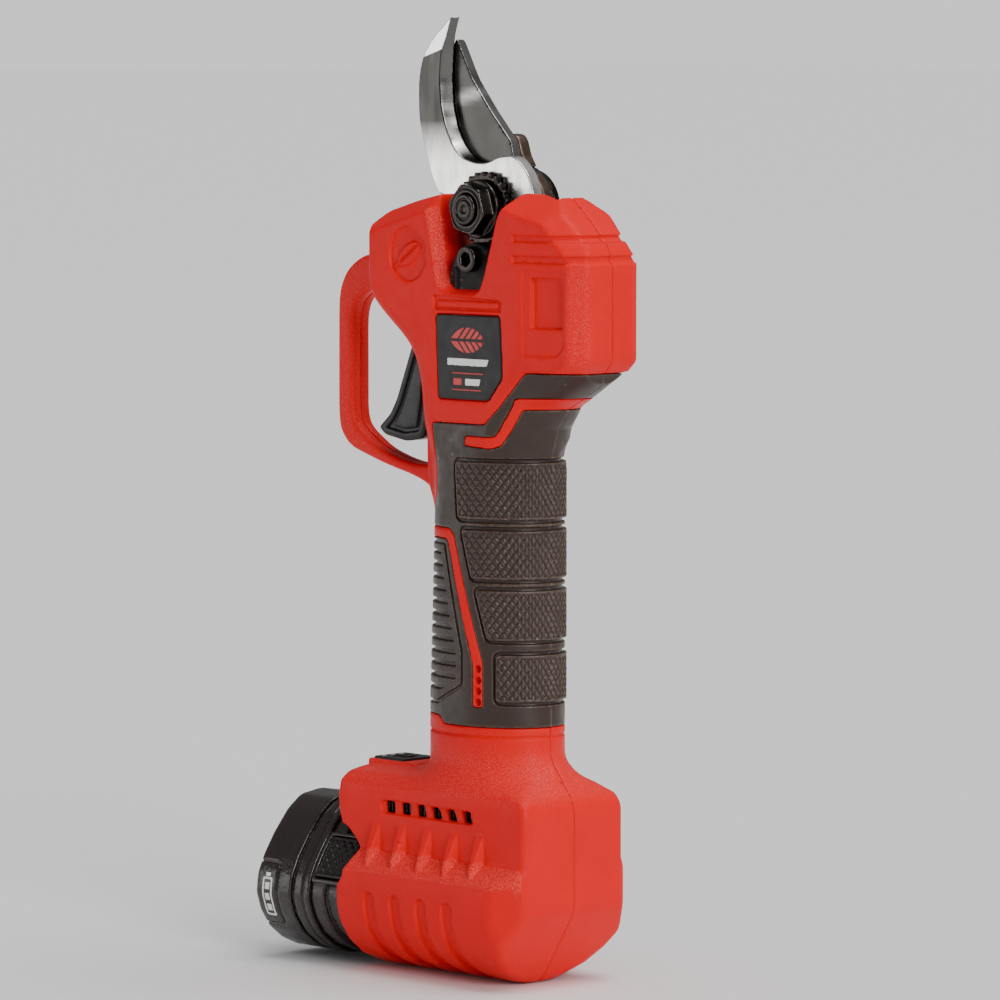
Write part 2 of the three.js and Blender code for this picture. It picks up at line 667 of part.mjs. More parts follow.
// ---- battery -----------------------------------------------------------------------------------------
function cellAxes() {
  const rise = Math.sqrt((2 * CELL.radius + 0.8) ** 2 - CELL.spread ** 2);
  return [[-CELL.spread, CELL.low], [CELL.spread, CELL.low], [0, CELL.low + rise]];
}

function cellSpace(front, back) {
  return join(...cellAxes().map(([y, z]) => roller(CELL.radius + GAP, front, back, y, z)));
}

function batteryCap() {
  const nose = across(inset(BATTERY_SECTION, 1.6), CAP.front - 1, CAP.front + 1);
  return cut(
    join(across(BATTERY_SECTION, CAP.front, CAP.back), nose),
    cellSpace(CELL.front - 1, 0),
  );
}

function batteryStem() {
  const middle = across(inset(BATTERY_SECTION, 1), CAP.back + GAP, -50);
  const throat = across(inset(BATTERY_SECTION, 2.2), -50.5, -39);
  const stem = across(STEM_SECTION, -40, STEM_END);
  return cut(
    join(middle, throat, stem),
    cellSpace(CAP.back - 5, CELL.front + CELL.length + 4.5),
    latchBlock(-1, GAP, 2.2), latchBlock(1, GAP, 2.2),
    box(-4.6, 0, -12, 12, 12, 40),
    box(-1, 9, -9.4, -6.6, 16, 26), box(-1, 9, 6.6, 9.4, 16, 26),
  );
}

function batteryCell(i) {
  const [y, z] = cellAxes()[i];
  const back = CELL.front + CELL.length;
  return join(roller(CELL.radius, CELL.front, back, y, z), roller(3, back - 0.5, back + 1, y, z, 16));
}

function batteryBoard() {
  return box(-4.2, -2.8, -11.5, 11.5, 12.5, 39.5);
}

function latchSpring(sign) {
  const { turns, radius, wire, lift, rise } = LATCH_SPRING;
  const coil = new THREE.Curve();
  coil.getPoint = (t) => {
    const angle = 2 * Math.PI * turns * t;
    const depth = LATCH.thick + lift + rise * t;
    return new THREE.Vector3(radius * Math.cos(angle), -sign * depth, radius * Math.sin(angle));
  };
  const section = new THREE.Shape(ellipse(wire, wire, 6).map(([x, y]) => new THREE.Vector2(x, y)));
  const geometry = new THREE.ExtrudeGeometry(
    section, { steps: 24, extrudePath: coil, bevelEnabled: false });
  geometry.rotateX(sign * LATCH.tilt);
  return solid(geometry.translate((LATCH.front + LATCH.back) / 2, sign * LATCH.y, LATCH.z));
}

// ---- fasteners ---------------------------------------------------------------------------------------
function housingScrew(i) {
  const [x, z] = SCREWS[i];
  const shank = crossbar(SCREW.shank, SCREW.tip, SCREW.seat + 0.5, x, z, 10);
  const headDisc = crossbar(SCREW.head, SCREW.seat, SCREW.top, x, z, 12);
  return join(shank, headDisc).subtract(crossbar(1.2, SCREW.top - 1, 20, x, z, 6));
}

// ---- the pruner ------------------------------------------------------------------------------------------
const pruner = new THREE.Group();
const add = (name, body, material) => pruner.add(piece(name, body, material));

const [housingLeft, housingRight] = housing();
const [gripLeft, gripRight] = grip();
add('housing_left', housingLeft, RED);
add('housing_right', housingRight, RED);
add('grip_left', gripLeft, SOFT_BLACK);
add('grip_right', gripRight, SOFT_BLACK);
add('badge_left', badge(-1), BADGE_GREY);
add('badge_right', badge(1), BADGE_GREY);

add('counter_blade', counterBlade(), BRIGHT_STEEL);
add('cutting_blade', cuttingBlade(), DARK_STEEL);
add('blade_carrier', bladeCarrier(), BLACK_STEEL);
add('drive_gear', driveGear(), DARK_STEEL);
add('pivot_bolt', pivotBolt(), BLACK_STEEL);
add('pivot_nut', pivotNut(), BLACK_STEEL);
add('lock_washer', lockWasher(), BLACK_STEEL);
add('lock_screw', lockScrew(), BLACK_STEEL);
add('gear_frame', gearFrame(), BLACK_STEEL);
add('pinion', pinion(), DARK_STEEL);
add('pinion_bearing', bearing(198.5, 203, 8, PINION.shaft + 0.25), BRIGHT_STEEL);

add('gearbox_case', gearboxCase(), DARK_STEEL);
add('gearbox_cover', gearboxCover(), DARK_STEEL);
add('planet_carrier', planetCarrier(), DARK_STEEL);
for (let i = 0; i < PLANETS; i += 1) add(`planet_gear_${i + 1}`, planetGear(i), BRIGHT_STEEL);
add('rotor_shaft', rotorShaft(), BRIGHT_STEEL);
add('motor_rotor', motorRotor(), DARK_STEEL);
add('motor_stator', motorStator(), COPPER);
add('motor_can', motorCan(), DARK_STEEL);
add('motor_end_cap', motorEndCap(), HARD_BLACK);
add('motor_bearing_front', bearing(156.5, 160.2, 4.8, MOTOR.shaft + 0.25), BRIGHT_STEEL);
add('motor_bearing_rear', bearing(105.8, 108.6, 4.8, MOTOR.shaft + 0.25), BRIGHT_STEEL);

add('trigger', trigger(), HARD_BLACK);
add('trigger_pin', crossbar(TRIGGER_PIN.radius, -10, 10, TRIGGER_PIN.x, TRIGGER_PIN.z, 20), BRIGHT_STEEL);
add('trigger_spring', triggerSpring(), BRIGHT_STEEL);
add('trigger_switch', triggerSwitch(), HARD_BLACK);

add('control_board', controlBoard(), BOARD_GREEN);
add('indicator_panel', indicatorPanel(), BADGE_GREY);
add('power_button', powerButton(), SOFT_BLACK);
add('terminal_block', terminalBlock(), HARD_BLACK);
add('terminal_blade_left', terminalBlade(-1), BRASS);
add('terminal_blade_right', terminalBlade(1), BRASS);

add('battery_cap', batteryCap(), HARD_BLACK);
add('battery_stem', batteryStem(), HARD_BLACK);
for (let i = 0; i < 3; i += 1) add(`battery_cell_${i + 1}`, batteryCell(i), CELL_BLUE);
add('battery_board', batteryBoard(), BOARD_GREEN);
add('latch_left', latchBlock(-1, 0, 0), HARD_BLACK);
add('latch_right', latchBlock(1, 0, 0), HARD_BLACK);
add('latch_spring_left', latchSpring(-1), BRIGHT_STEEL);
add('latch_spring_right', latchSpring(1), BRIGHT_STEEL);

SCREWS.forEach((_, i) => add(`housing_screw_${i + 1}`, housingScrew(i), BLACK_STEEL));

pruner.position.z = -DATUM;

export default pruner;
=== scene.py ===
import json
import math

import bpy
import numpy as np
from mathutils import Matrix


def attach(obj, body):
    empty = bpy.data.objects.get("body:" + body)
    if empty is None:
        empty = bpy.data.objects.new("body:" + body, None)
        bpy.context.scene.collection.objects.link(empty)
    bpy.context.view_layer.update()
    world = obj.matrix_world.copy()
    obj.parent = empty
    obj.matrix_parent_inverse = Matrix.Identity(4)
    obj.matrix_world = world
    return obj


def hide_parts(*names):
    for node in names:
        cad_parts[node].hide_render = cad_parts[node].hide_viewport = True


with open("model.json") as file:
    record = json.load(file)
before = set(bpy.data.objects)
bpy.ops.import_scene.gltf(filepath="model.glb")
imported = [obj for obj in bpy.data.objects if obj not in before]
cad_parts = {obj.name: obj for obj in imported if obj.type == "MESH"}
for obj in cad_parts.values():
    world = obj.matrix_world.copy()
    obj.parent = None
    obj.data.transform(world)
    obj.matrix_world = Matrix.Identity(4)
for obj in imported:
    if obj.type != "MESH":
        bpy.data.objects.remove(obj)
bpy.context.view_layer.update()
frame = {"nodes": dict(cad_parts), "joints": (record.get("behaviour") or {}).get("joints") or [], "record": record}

import openvdb
from mathutils import Vector

MM = 0.001
DATUM = 3


def joint_place(name):
    """The design (x, y, z) of a joint of the frame."""
    x, y, z = next(joint["pos_m"] for joint in frame["joints"] if joint["name"] == name)
    return x / MM, y / MM, z / MM + DATUM


PIVOT = joint_place("blade_swing")[::2]
GRIP_A = 22.3           # half the handle's depth
GRIP_B = 17           # half its width
SKIN = 1.5              # thickness of the black overmould
WALL = 2.2              # thickness of the red shell in the base
HEAD_WALL = 3
HEAD_HALF = 16        # half the head's width
GUARD_HALF = 4


# ---- camera, lights and floor
CAMERA_PLACE = (1.3632, -1.2936, 0.2896)
CAMERA_TARGET = (0, 0, 0.1455)
CAMERA_LENS = 223.9
FILL_STRENGTH = 0.27
BACKDROP_STRENGTH = 0.95    # what the camera sees beyond the floor, as bright as the floor
FLOOR_REACH = 30
FLOOR_DROP = 0.0002


def aim(thing, target):
    direction = Vector(target) - thing.location
    thing.rotation_euler = direction.to_track_quat("-Z", "Y").to_euler()


def make_camera():
    data = bpy.data.cameras.new("camera")
    data.lens = CAMERA_LENS
    data.sensor_width = 36
    camera = bpy.data.objects.new("camera", data)
    camera.location = CAMERA_PLACE
    aim(camera, CAMERA_TARGET)
    bpy.context.scene.collection.objects.link(camera)
    bpy.context.scene.camera = camera


def light(name, kind, place, target, power, **settings):
    data = bpy.data.lights.new(name, kind)
    data.energy = power
    for setting, value in settings.items():
        setattr(data, setting, value)
    thing = bpy.data.objects.new(name, data)
    thing.location = place
    aim(thing, target)
    bpy.context.scene.collection.objects.link(thing)


def make_studio():
    """Soft light from above and the right, a softbox at the front left, and a pale backdrop."""
    origin = (0, 0, 0)
    light("top_sun", "SUN", (0.25, 0.15, 1), origin, 2.2, angle=math.radians(45))
    light("right_sun", "SUN", (1, -0.3, 0.42), origin, 1.8, angle=math.radians(25))
    light("left_softbox", "AREA", (-1.45, -1.38, 0.25), (0, 0, 0.2), 5.5, shape="RECTANGLE",
          size=0.9, size_y=0.9)
    world = bpy.data.worlds.new("studio")
    world.use_nodes = True
    nodes, links = world.node_tree.nodes, world.node_tree.links
    fill = nodes["Background"]
    backdrop = nodes.new("ShaderNodeBackground")
    for node, strength in ((fill, FILL_STRENGTH), (backdrop, BACKDROP_STRENGTH)):
        node.inputs["Color"].default_value = (1, 1, 1, 1)
        node.inputs["Strength"].default_value = strength
    seen = nodes.new("ShaderNodeLightPath").outputs["Is Camera Ray"]
    mix = nodes.new("ShaderNodeMixShader")
    links.new(seen, mix.inputs["Fac"])
    links.new(fill.outputs[0], mix.inputs[1])
    links.new(backdrop.outputs[0], mix.inputs[2])
    links.new(mix.outputs[0], nodes["World Output"].inputs["Surface"])
    bpy.context.scene.world = world


def make_floor():
    reach = FLOOR_REACH
    corners = [(-reach, -reach, 0), (reach, -reach, 0), (reach, reach, 0), (-reach, reach, 0)]
    mesh = bpy.data.meshes.new("floor")
    mesh.from_pydata(corners, [], [(0, 1, 2, 3)])
    floor = bpy.data.objects.new("floor", mesh)
    floor.location = (0, 0, -FLOOR_DROP)
    bpy.context.scene.collection.objects.link(floor)
    paper = Finish("floor_paper", (0.86, 0.86, 0.86), 0.7)
    paper.grain(400, 0.02)
    mesh.materials.append(paper.done)


# ---- materials
NOISE_SPAN = (0.3, 0.7)     # where nearly all of a noise texture's values lie
MOTTLE_SHADE = 0.55         # how dark the darker patches of a mottled colour are


class Finish:
    """A procedural material on a Principled shader, built up in steps in object space.

    Scales are in features per metre, heights in millimetres. A stretch is a scale per axis.
    """

    def __init__(self, name, colour, roughness, metallic=0, specular=0.5):
        self.done = bpy.data.materials.new(name)
        self.done.use_nodes = True
        self.nodes = self.done.node_tree.nodes
        self.links = self.done.node_tree.links
        self.shader = self.nodes["Principled BSDF"]
        for name, value in (("Base Color", (*colour, 1)), ("Roughness", roughness),
                            ("Metallic", metallic), ("Specular IOR Level", specular)):
            self.shader.inputs[name].default_value = value
        self.colour = colour
        self.rough = roughness
        self.place = self.nodes.new("ShaderNodeTexCoord").outputs["Object"]
        self.normal = None

    def add(self, kind, **settings):
        """A new node, with a number or a link for each named input."""
        node = self.nodes.new("ShaderNode" + kind)
        for name, value in settings.items():
            socket = node.inputs[name.replace("_", " ")]
            if isinstance(value, bpy.types.NodeSocket):
                self.links.new(value, socket)
            else:
                socket.default_value = value
        return node

    def noise(self, scale, detail=2, stretch=None):
        place = self.place
        if stretch:
            place = self.add("Mapping", Scale=stretch, Vector=place).outputs["Vector"]
        return self.add("TexNoise", Scale=scale, Detail=detail, Vector=place).outputs["Fac"]

    def ramp(self, value, low, high, out_low, out_high):
        return self.add("MapRange", Value=value, From_Min=low, From_Max=high,
                        To_Min=out_low, To_Max=out_high).outputs["Result"]

    def times(self, first, second):
        node = self.nodes.new("ShaderNodeMath")
        node.operation = "MULTIPLY"
        self.links.new(first, node.inputs[0])
        self.links.new(second, node.inputs[1])
        return node.outputs[0]

    def attribute(self, name):
        """A value that mark() put on the mesh."""
        node = self.nodes.new("ShaderNodeAttribute")
        node.attribute_name = name
        return node.outputs["Fac"]

    def tint(self, factor, colour):
        """Mixes the colour so far towards another one, by a factor from 0 to 1."""
        mix = self.nodes.new("ShaderNodeMix")
        mix.data_type = "RGBA"
        socket = self.shader.inputs["Base Color"]
        if socket.is_linked:
            self.links.new(socket.links[0].from_socket, mix.inputs["A"])
        else:
            mix.inputs["A"].default_value = (*self.colour, 1)
        mix.inputs["B"].default_value = (*colour, 1)
        self.links.new(factor, mix.inputs["Factor"])
        self.links.new(mix.outputs["Result"], socket)
        return self

    def mottle(self, scale, strength):
        """Slow colour variation, as in moulded or rolled stock."""
        value = self.ramp(self.noise(scale, 4), *NOISE_SPAN, 0, strength)
        return self.tint(value, tuple(MOTTLE_SHADE * c for c in self.colour))

    def vary_roughness(self, scale, spread, stretch=None):
        value = self.ramp(self.noise(scale, 3, stretch), *NOISE_SPAN,
                          self.rough - spread, self.rough + spread)
        self.links.new(value, self.shader.inputs["Roughness"])
        return self

    def grain(self, scale, height, stretch=None, detail=2, mask=None):
        """Adds a bump, on top of any bump that is there."""
        value = self.noise(scale, detail, stretch)
        if mask is not None:
            value = self.times(value, mask)
        bump = self.add("Bump", Distance=height * MM, Height=value)
        if self.normal is not None:
            self.links.new(self.normal, bump.inputs["Normal"])
        self.normal = bump.outputs["Normal"]
        self.links.new(self.normal, self.shader.inputs["Normal"])
        return self

    def edge_wear_and_highlight(self, colour, low=0.52, high=0.62, strength=0.6):
        """Lightens the raised edges, broken up by noise: partly wear and partly a painted highlight."""
        point = self.nodes.new("ShaderNodeNewGeometry").outputs["Pointiness"]
        edge = self.ramp(point, low, high, 0, strength)
        broken = self.ramp(self.noise(900, 3), 0.35, 0.6, 0.2, 1)
        return self.tint(self.times(edge, broken), colour)


def red_nylon():
    """Glass-filled nylon: a fine grain, with a coarse one where "texture" is marked, and lighter specks that are
    painted glints, denser where "texture" is marked.
    """
    red = Finish("red_nylon", (0.78, 0.004, 0.0062), 0.42, specular=0.12)
    red.mottle(60, 0.12).vary_roughness(220, 0.06)
    red.grain(2600, 0.035, detail=1)
    red.grain(1900, 0.2, detail=1, mask=red.attribute("texture"))
    red.edge_wear_and_highlight((0.85, 0.05, 0.035), 0.53, 0.66, 0.35)
    # Painted glints: sparse lighter specks all over, denser where "texture" is marked.
    painted_glints = red.noise(2900, 1)
    red.tint(red.ramp(painted_glints, 0.52, 0.72, 0, 0.1), (0.95, 0.12, 0.1))
    coarse_glints = red.times(red.ramp(painted_glints, 0.46, 0.66, 0, 0.3), red.attribute("texture"))
    return red.tint(coarse_glints, (0.95, 0.3, 0.24)).done


def ground_steel():
    """Bright steel with grinding marks, darker where the marked attribute paints a dark reflection into the
    colour.
    """
    bright = Finish("ground_steel", (0.9, 0.88, 0.85), 0.24, 1)
    # Painted reflection: the marked attribute darkens the colour where the steel would reflect dark surroundings.
    bright.tint(bright.attribute("painted_reflection"), (0.05, 0.048, 0.045))
    smears = bright.ramp(bright.noise(260, 4, (1, 1, 0.35)), 0.35, 0.65, 0, 0.35)
    bright.tint(smears, (0.11, 0.106, 0.1))
    bright.vary_roughness(90, 0.06, (4, 1, 0.6))
    return bright.grain(700, 0.002, (4, 1, 0.4), 3).done


def polished_tip():
    tip = Finish("polished_tip", (0.9, 0.9, 0.9), 0.16, 1)
    return tip.vary_roughness(90, 0.04).grain(400, 0.006, (1, 1, 10)).done


def polished_blade():
    """Dark polished steel, lighter where the marked attribute paints a highlight along the spine and a sheen
    across the face.
    """
    blade = Finish("polished_blade", (0.065, 0.062, 0.058), 0.2, 1)
    blade.mottle(90, 0.45).vary_roughness(120, 0.06)
    blade.grain(500, 0.002, (5, 1, 0.5), 3)
    # Painted highlight: the marked attribute lifts the colour towards bright steel.
    return blade.tint(blade.attribute("painted_reflection"), (0.75, 0.74, 0.72)).done


# Slot: name, colour, roughness, metallic, specular, then the arguments of mottle, vary_roughness,
# grain and the lightened edges, which are partly wear and partly a painted highlight.
PLAIN_FINISHES = {
    # The grip's lightened edges stand for the highlights on its knurl: painted highlights.
    "grip_rubber": (
        "grip_rubber", (0.035, 0.0185, 0.0125), 0.38, 0, 0.42,
        (150, 0.35), (300, 0.1), (2200, 0.05), ((0.3, 0.21, 0.165), 0.51, 0.6, 0.8)),
    "black_plastic": (
        "black_plastic", (0.018, 0.0115, 0.010), 0.22, 0, 0.5,
        (120, 0.3), (260, 0.08), (1000, 0.16), ((0.09, 0.08, 0.075), 0.52, 0.62, 0.5)),
    "black_smooth": (
        "black_gloss_plastic", (0.011, 0.009, 0.0085), 0.3, 0, 0.3,
        (120, 0.3), (260, 0.06), (900, 0.012), ((0.07, 0.065, 0.06), 0.52, 0.62, 0.4)),
    "badge_panel": (
        "badge_film", (0.014, 0.0125, 0.0125), 0.42, 0, 0.3,
        (200, 0.2), (300, 0.06), (2500, 0.02), None),
    "print_white": (
        "print_white", (0.86, 0.86, 0.84), 0.4, 0, 0.5,
        (300, 0.08), (300, 0.05), (2500, 0.015), None),
    "print_red": (
        "print_red", (0.62, 0.03, 0.03), 0.4, 0, 0.5,
        (300, 0.1), (300, 0.05), (2500, 0.015), None),
    "black_steel": (
        "black_oxide", (0.04, 0.034, 0.031), 0.2, 1, 0.5,
        (160, 0.4), (260, 0.1), (700, 0.02, None, 3), ((0.3, 0.29, 0.28), 0.52, 0.62, 0.8)),
    "cast_black": (
        "cast_black", (0.008, 0.007, 0.0065), 0.5, 0, 0.2,
        (200, 0.4), (260, 0.1), (900, 0.05, None, 3), ((0.09, 0.085, 0.08), 0.52, 0.6, 0.7)),
    "carrier_steel": (
        "browned_steel", (0.17, 0.12, 0.09), 0.36, 1, 0.5,
        (140, 0.5), (260, 0.1), (600, 0.03, None, 3), ((0.35, 0.3, 0.27), 0.52, 0.62, 0.7)),
    "copper": (
        "wound_copper", (0.6, 0.26, 0.12), 0.35, 1, 0.5,
        (200, 0.4), (300, 0.1), (250, 0.1, (1, 1, 10)), None),
    "circuit_board": (
        "solder_mask", (0.02, 0.13, 0.05), 0.35, 0, 0.5,
        (300, 0.5), (300, 0.1), (900, 0.02), None),
    "brass_blade": (
        "plated_brass", (0.6, 0.43, 0.16), 0.28, 1, 0.5,
        (200, 0.3), (300, 0.08), (500, 0.01, (1, 1, 8)), None),
    "cell_wrap": (
        "shrink_wrap", (0.03, 0.13, 0.36), 0.3, 0, 0.5,
        (150, 0.2), (200, 0.08), (200, 0.03), None)}


def make_materials():
    """The materials by name. The record's slots are among the names."""
    made = {"red_housing": red_nylon(), "bright_steel": ground_steel(),
            "tip_steel": polished_tip(), "blade_steel": polished_blade()}
    for slot, (*basis, mottle, rough, grain, worn) in PLAIN_FINISHES.items():
        finish = Finish(*basis).mottle(*mottle).vary_roughness(*rough).grain(*grain)
        made[slot] = (finish.edge_wear_and_highlight(*worn) if worn else finish).done
    return made


MATERIALS = make_materials()


# ---- distance fields
class Grid:
    """A block of sample points, in design millimetres."""

    def __init__(self, low, high, step):
        self.low = low
        self.step = step
        counts = [int(math.ceil((b - a) / step)) + 1 for a, b in zip(low, high)]
        axes = [(a + step * np.arange(n)).astype(np.float32) for a, n in zip(low, counts)]
        self.axes = axes[0][:, None, None], axes[1][None, :, None], axes[2][None, None, :]
        self.x, self.y, self.z = self.axes
        self.mirrored = self.x, np.abs(self.y), self.z
        self.shape = tuple(counts)


def soften(points, radius, steps=4):
    """Rounds each corner of a closed outline, starting at most radius away from it."""
    rounded = []
    for i, corner in enumerate(points):
        before = points[i - 1]
        after = points[(i + 1) % len(points)]
        starts = []
        for other in (before, after):
            length = math.dist(corner, other)
            share = min(radius, 0.45 * length) / length
            starts.append([c + (o - c) * share for c, o in zip(corner, other)])
        for k in range(steps + 1):
            t = k / steps
            rounded.append(tuple(
                (1 - t) ** 2 * a + 2 * t * (1 - t) * c + t * t * b
                for a, c, b in zip(starts[0], corner, starts[1])))
    return rounded


def polygon(u, v, points, radius=0):
    """Distance to a closed outline in the plane of u and v, with its corners softened."""
    if radius:
        points = soften(points, radius)
    nearest = np.full(np.broadcast(u, v).shape, 1e9, np.float32)
    inside = np.zeros(nearest.shape, bool)
    for (au, av), (bu, bv) in zip(points, points[1:] + points[:1]):
        eu, ev = bu - au, bv - av
        length = eu * eu + ev * ev
        if length < 1e-12:
            continue
        share = np.clip(((u - au) * eu + (v - av) * ev) / length, 0, 1)
        nearest = np.minimum(nearest, (u - au - eu * share) ** 2 + (v - av - ev * share) ** 2)
        if ev != 0:
            crossed = ((v >= av) != (v >= bv)) & (u < au + eu * (v - av) / ev)
            inside ^= crossed
    return np.where(inside, -np.sqrt(nearest), np.sqrt(nearest))


def both(first, second, radius=0):
    """The overlap of two solids, with its new convex edges rounded."""
    if np.isscalar(radius) and radius == 0:
        return np.maximum(first, second)
    corner = np.hypot(np.maximum(first + radius, 0), np.maximum(second + radius, 0))
    return np.minimum(-radius, np.maximum(first, second)) + corner


def either(first, second, radius=0):
    """The union of two solids, with its new concave edges filleted."""
    return -both(-first, -second, radius)


def without(solid, cutter, radius=0):
    return both(solid, -cutter, radius)


def sunk(solid, region, depth, radius=0):
    """A recess of the given depth in the surface, inside region."""
    return without(solid, np.maximum(region, -(solid + depth)), radius)


def proud(solid, region, height):
    """A raised patch of the given height on the surface, inside region."""
    return np.minimum(solid, np.maximum(region, solid - height))


def slab(value, low, high):
    return np.maximum(low - value, value - high)


def block(*spans):
    """A box from (value, low, high) spans."""
    field = slab(*spans[0])
    for span in spans[1:]:
        field = np.maximum(field, slab(*span))
    return field


def disc(u, v, centre_u, centre_v, radius):
    return np.hypot(u - centre_u, v - centre_v) - radius


def stadium(u, v, half_u, half_v, radius):
    """The points within radius of a box with the given half sizes."""
    return np.hypot(np.maximum(np.abs(u) - half_u, 0), np.maximum(np.abs(v) - half_v, 0)) - radius


def oval(u, v, a, b):
    ratio = np.hypot(u / a, v / b)
    slope = np.hypot(u / a ** 2, v / b ** 2)
    return ratio * (ratio - 1) / np.maximum(slope, 1e-6)


def hexagon(u, v, across_flats, turn):
    flats = [np.abs(u * math.cos(angle) + v * math.sin(angle)) - across_flats / 2
             for angle in (turn, turn + math.pi / 3, turn + 2 * math.pi / 3)]
    return both(both(flats[0], flats[1], 0.4), flats[2], 0.4)


def zigzag(value):
    """A triangle wave from 1 down to 0 and back, once per unit."""
    return np.abs(2 * (value - np.floor(value)) - 1)


def fade(value, start, end):
    """Goes from 0 at start to 1 at end, in a straight line."""
    return np.clip((value - start) / (end - start), 0, 1)


def interpolated(value, places, results):
    return np.interp(value, places, results).astype(np.float32)


def spaced(first, pitch, count):
    return [first + pitch * i for i in range(count)]


# ---- meshes
def surface(grid, field, adaptivity=0.0):
    """Points in design millimetres and faces of the zero level of a field."""
    band = 3 * grid.step
    values = np.clip(np.broadcast_to(field, grid.shape), -band, band).astype(np.float32)
    volume = openvdb.FloatGrid(band)
    volume.copyFromArray(np.ascontiguousarray(values), tolerance=0.0)
    volume.transform = openvdb.createLinearTransform(grid.step)
    points, triangles, quads = volume.convertToPolygons(isovalue=0.0, adaptivity=adaptivity)
    points = points + np.array(grid.low)
    faces = [tuple(f) for f in triangles.tolist()] + [tuple(f) for f in quads.tolist()]
    a, b, c, d = (points[[f[k] for f in faces]] for k in (0, 1, 2, -1))
    enclosed = np.einsum("ij,ij->i", a, np.cross(b, c)) + np.einsum("ij,ij->i", a, np.cross(c, d))
    if enclosed.sum() < 0:
        faces = [f[::-1] for f in faces]
    return points, faces


def flipped(shape):
    """The mirror image of a surface in the plane Y = 0."""
    points, faces = shape
    return points * np.array([1, -1, 1]), [f[::-1] for f in faces]


def piece(name, shape, material, body, nodes=()):
    """Makes an object of a surface, in place of some nodes, and hangs it on a body.

    Its slot is the one that its material is named after.
    """
    points, faces = shape
    mesh = bpy.data.meshes.new(name)
    places = (points - np.array([0, 0, DATUM])) * MM
    mesh.from_pydata(places.tolist(), [], faces)
    mesh.polygons.foreach_set("use_smooth", [True] * len(mesh.polygons))
    mesh.materials.append(MATERIALS[material])
    thing = bpy.data.objects.new(name, mesh)
    bpy.context.scene.collection.objects.link(thing)
    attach(thing, body)
    if nodes:
        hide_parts(*nodes)
    return thing


def pair(name, shape, material, body, nodes=()):
    """A right piece and its mirror image. A {} in a name stands for the side."""
    for side, form in (("left", flipped(shape)), ("right", shape)):
        replaced = [node.format(side) for node in nodes]
        piece(name.format(side), form, material, body.format(side), replaced)


def mark(thing, name, values):
    """Puts a value on each point, for the material to read."""
    thing.data.attributes.new(name, "FLOAT", "POINT").data.foreach_set(
        "value", np.ascontiguousarray(values, np.float32))


# ---- outlines of the housing, shared by the red shell and the black skin
BASE_PROFILE = [
    (-51, 51.5), (-45.4, 36), (-45.4, -3), (14.3, -3), (32.5, 26.3), (32.5, 57),
    (30.8, 60.6), (25, 64), (-25, 66), (-49.4, 65), (-51.2, 62)]
BASE_SECTION = [    # (y, z)
    (0, 3), (5, 3), (10, 4.4), (16.5, 7.2), (22, 11.8), (25.8, 17.6), (27.3, 23.5), (27.3, 30),
    (26.9, 34.4), (21, 40.6), (21, 56.5), (20.2, 60.6), (17, 63.6), (8, 66.5), (0, 69)]
BASE_PLAN = [(-70, -40), (4.5, -40), (45, -12.4), (45, 12.4), (4.5, 40), (-70, 40)]     # (x, y)
HEAD_UNDER = [
    (70, 260), (-46, 260), (-46, 216.4), (-44, 210.8), (-39, 205.6), (-31, 199.4), (-25.8, 194.4),
    (-23.2, 189), (-22.3, 182), (-22.3, 150), (70, 150)]
HEAD_TOP = [
    (-70, 140), (-70, 216), (-46, 224.3), (-43.5, 231), (-38, 235.5), (-25, 239), (-10, 241.8),
    (29.9, 241.8), (38.3, 234.9), (46.6, 226.7), (48.9, 221), (54, 216), (54, 198),
    (48.9, 192.6), (44.6, 187.8), (44.6, 140)]
HEAD_PLAN = [   # (x, y)
    (-54, 0), (-41.5, -16), (22, -16.1), (43.9, -14.6), (48.7, -9.8), (48.7, 9.8), (43.9, 14.6),
    (22, 16.1), (-41.5, 16)]
# The back of the handle flares out under the head: its depth at each height.
FLARE_HEIGHTS = [140, 155, 163, 171, 178, 180, 184, 188.5]
FLARE_REARS = [22.3, 22.3, 23.1, 25.4, 30.9, 35, 42, 50]
GUARD_OUTER = [
    (-38, 224.3), (-44, 223.4), (-58.5, 221.2), (-65, 217), (-68.2, 211.7), (-69.2, 205.9),
    (-69.3, 172.3), (-68.4, 166.6), (-64, 161.8), (-49.2, 157.4), (-35, 154.2), (-28.6, 152),
    (-23.8, 148), (-19, 143), (-17, 205), (-30, 223)]
GUARD_INNER = [
    (-62.4, 203), (-60, 208), (-54, 211), (-42, 212), (-36, 203), (-24, 190), (-22.6, 158.5),
    (-32, 157.8), (-40.6, 159), (-50.7, 162), (-60.5, 168), (-62.4, 172)]
CHEEKS = [(-24, 198), (-24, 159), (-23, 151), (-19.6, 145.4), (-15, 141), (-12, 150), (-12, 198)]
SKIN_EDGE = [
    (-13.4, 172.4), (9.9, 172.5), (25.1, 187.3), (27, 188.6), (60, 188.7), (60, 81),
    (-7.6, 81), (-10.5, 83.4), (-40, 83.4), (-40, 142.5), (-19, 143.5), (-13.4, 151)]
STRIPE_LOW = [
    (-40, 140.6), (-4.8, 140.6), (-2.6, 138.8), (8.5, 100.6), (8.5, 87), (5.3, 87),
    (5.3, 99.6), (-5.4, 136.2), (-6.6, 137.4), (-40, 137.4)]
STRIPE_HIGH = [
    (1.7, 168.8), (1.7, 165.9), (11.4, 165.2), (14.6, 166.3), (22.2, 177.3), (60, 177.6),
    (60, 181), (21.4, 180.7), (13.2, 168.9), (10.4, 168.6)]
SLOT_EDGE = [
    (-13.8, 250), (-12.4, 235), (-9.3, 216), (-8, 213.9), (-5.2, 212.8), (4.2, 212.8),
    (6.8, 214), (8.9, 216.8), (14.4, 234.3), (18.2, 240.4), (21, 250)]
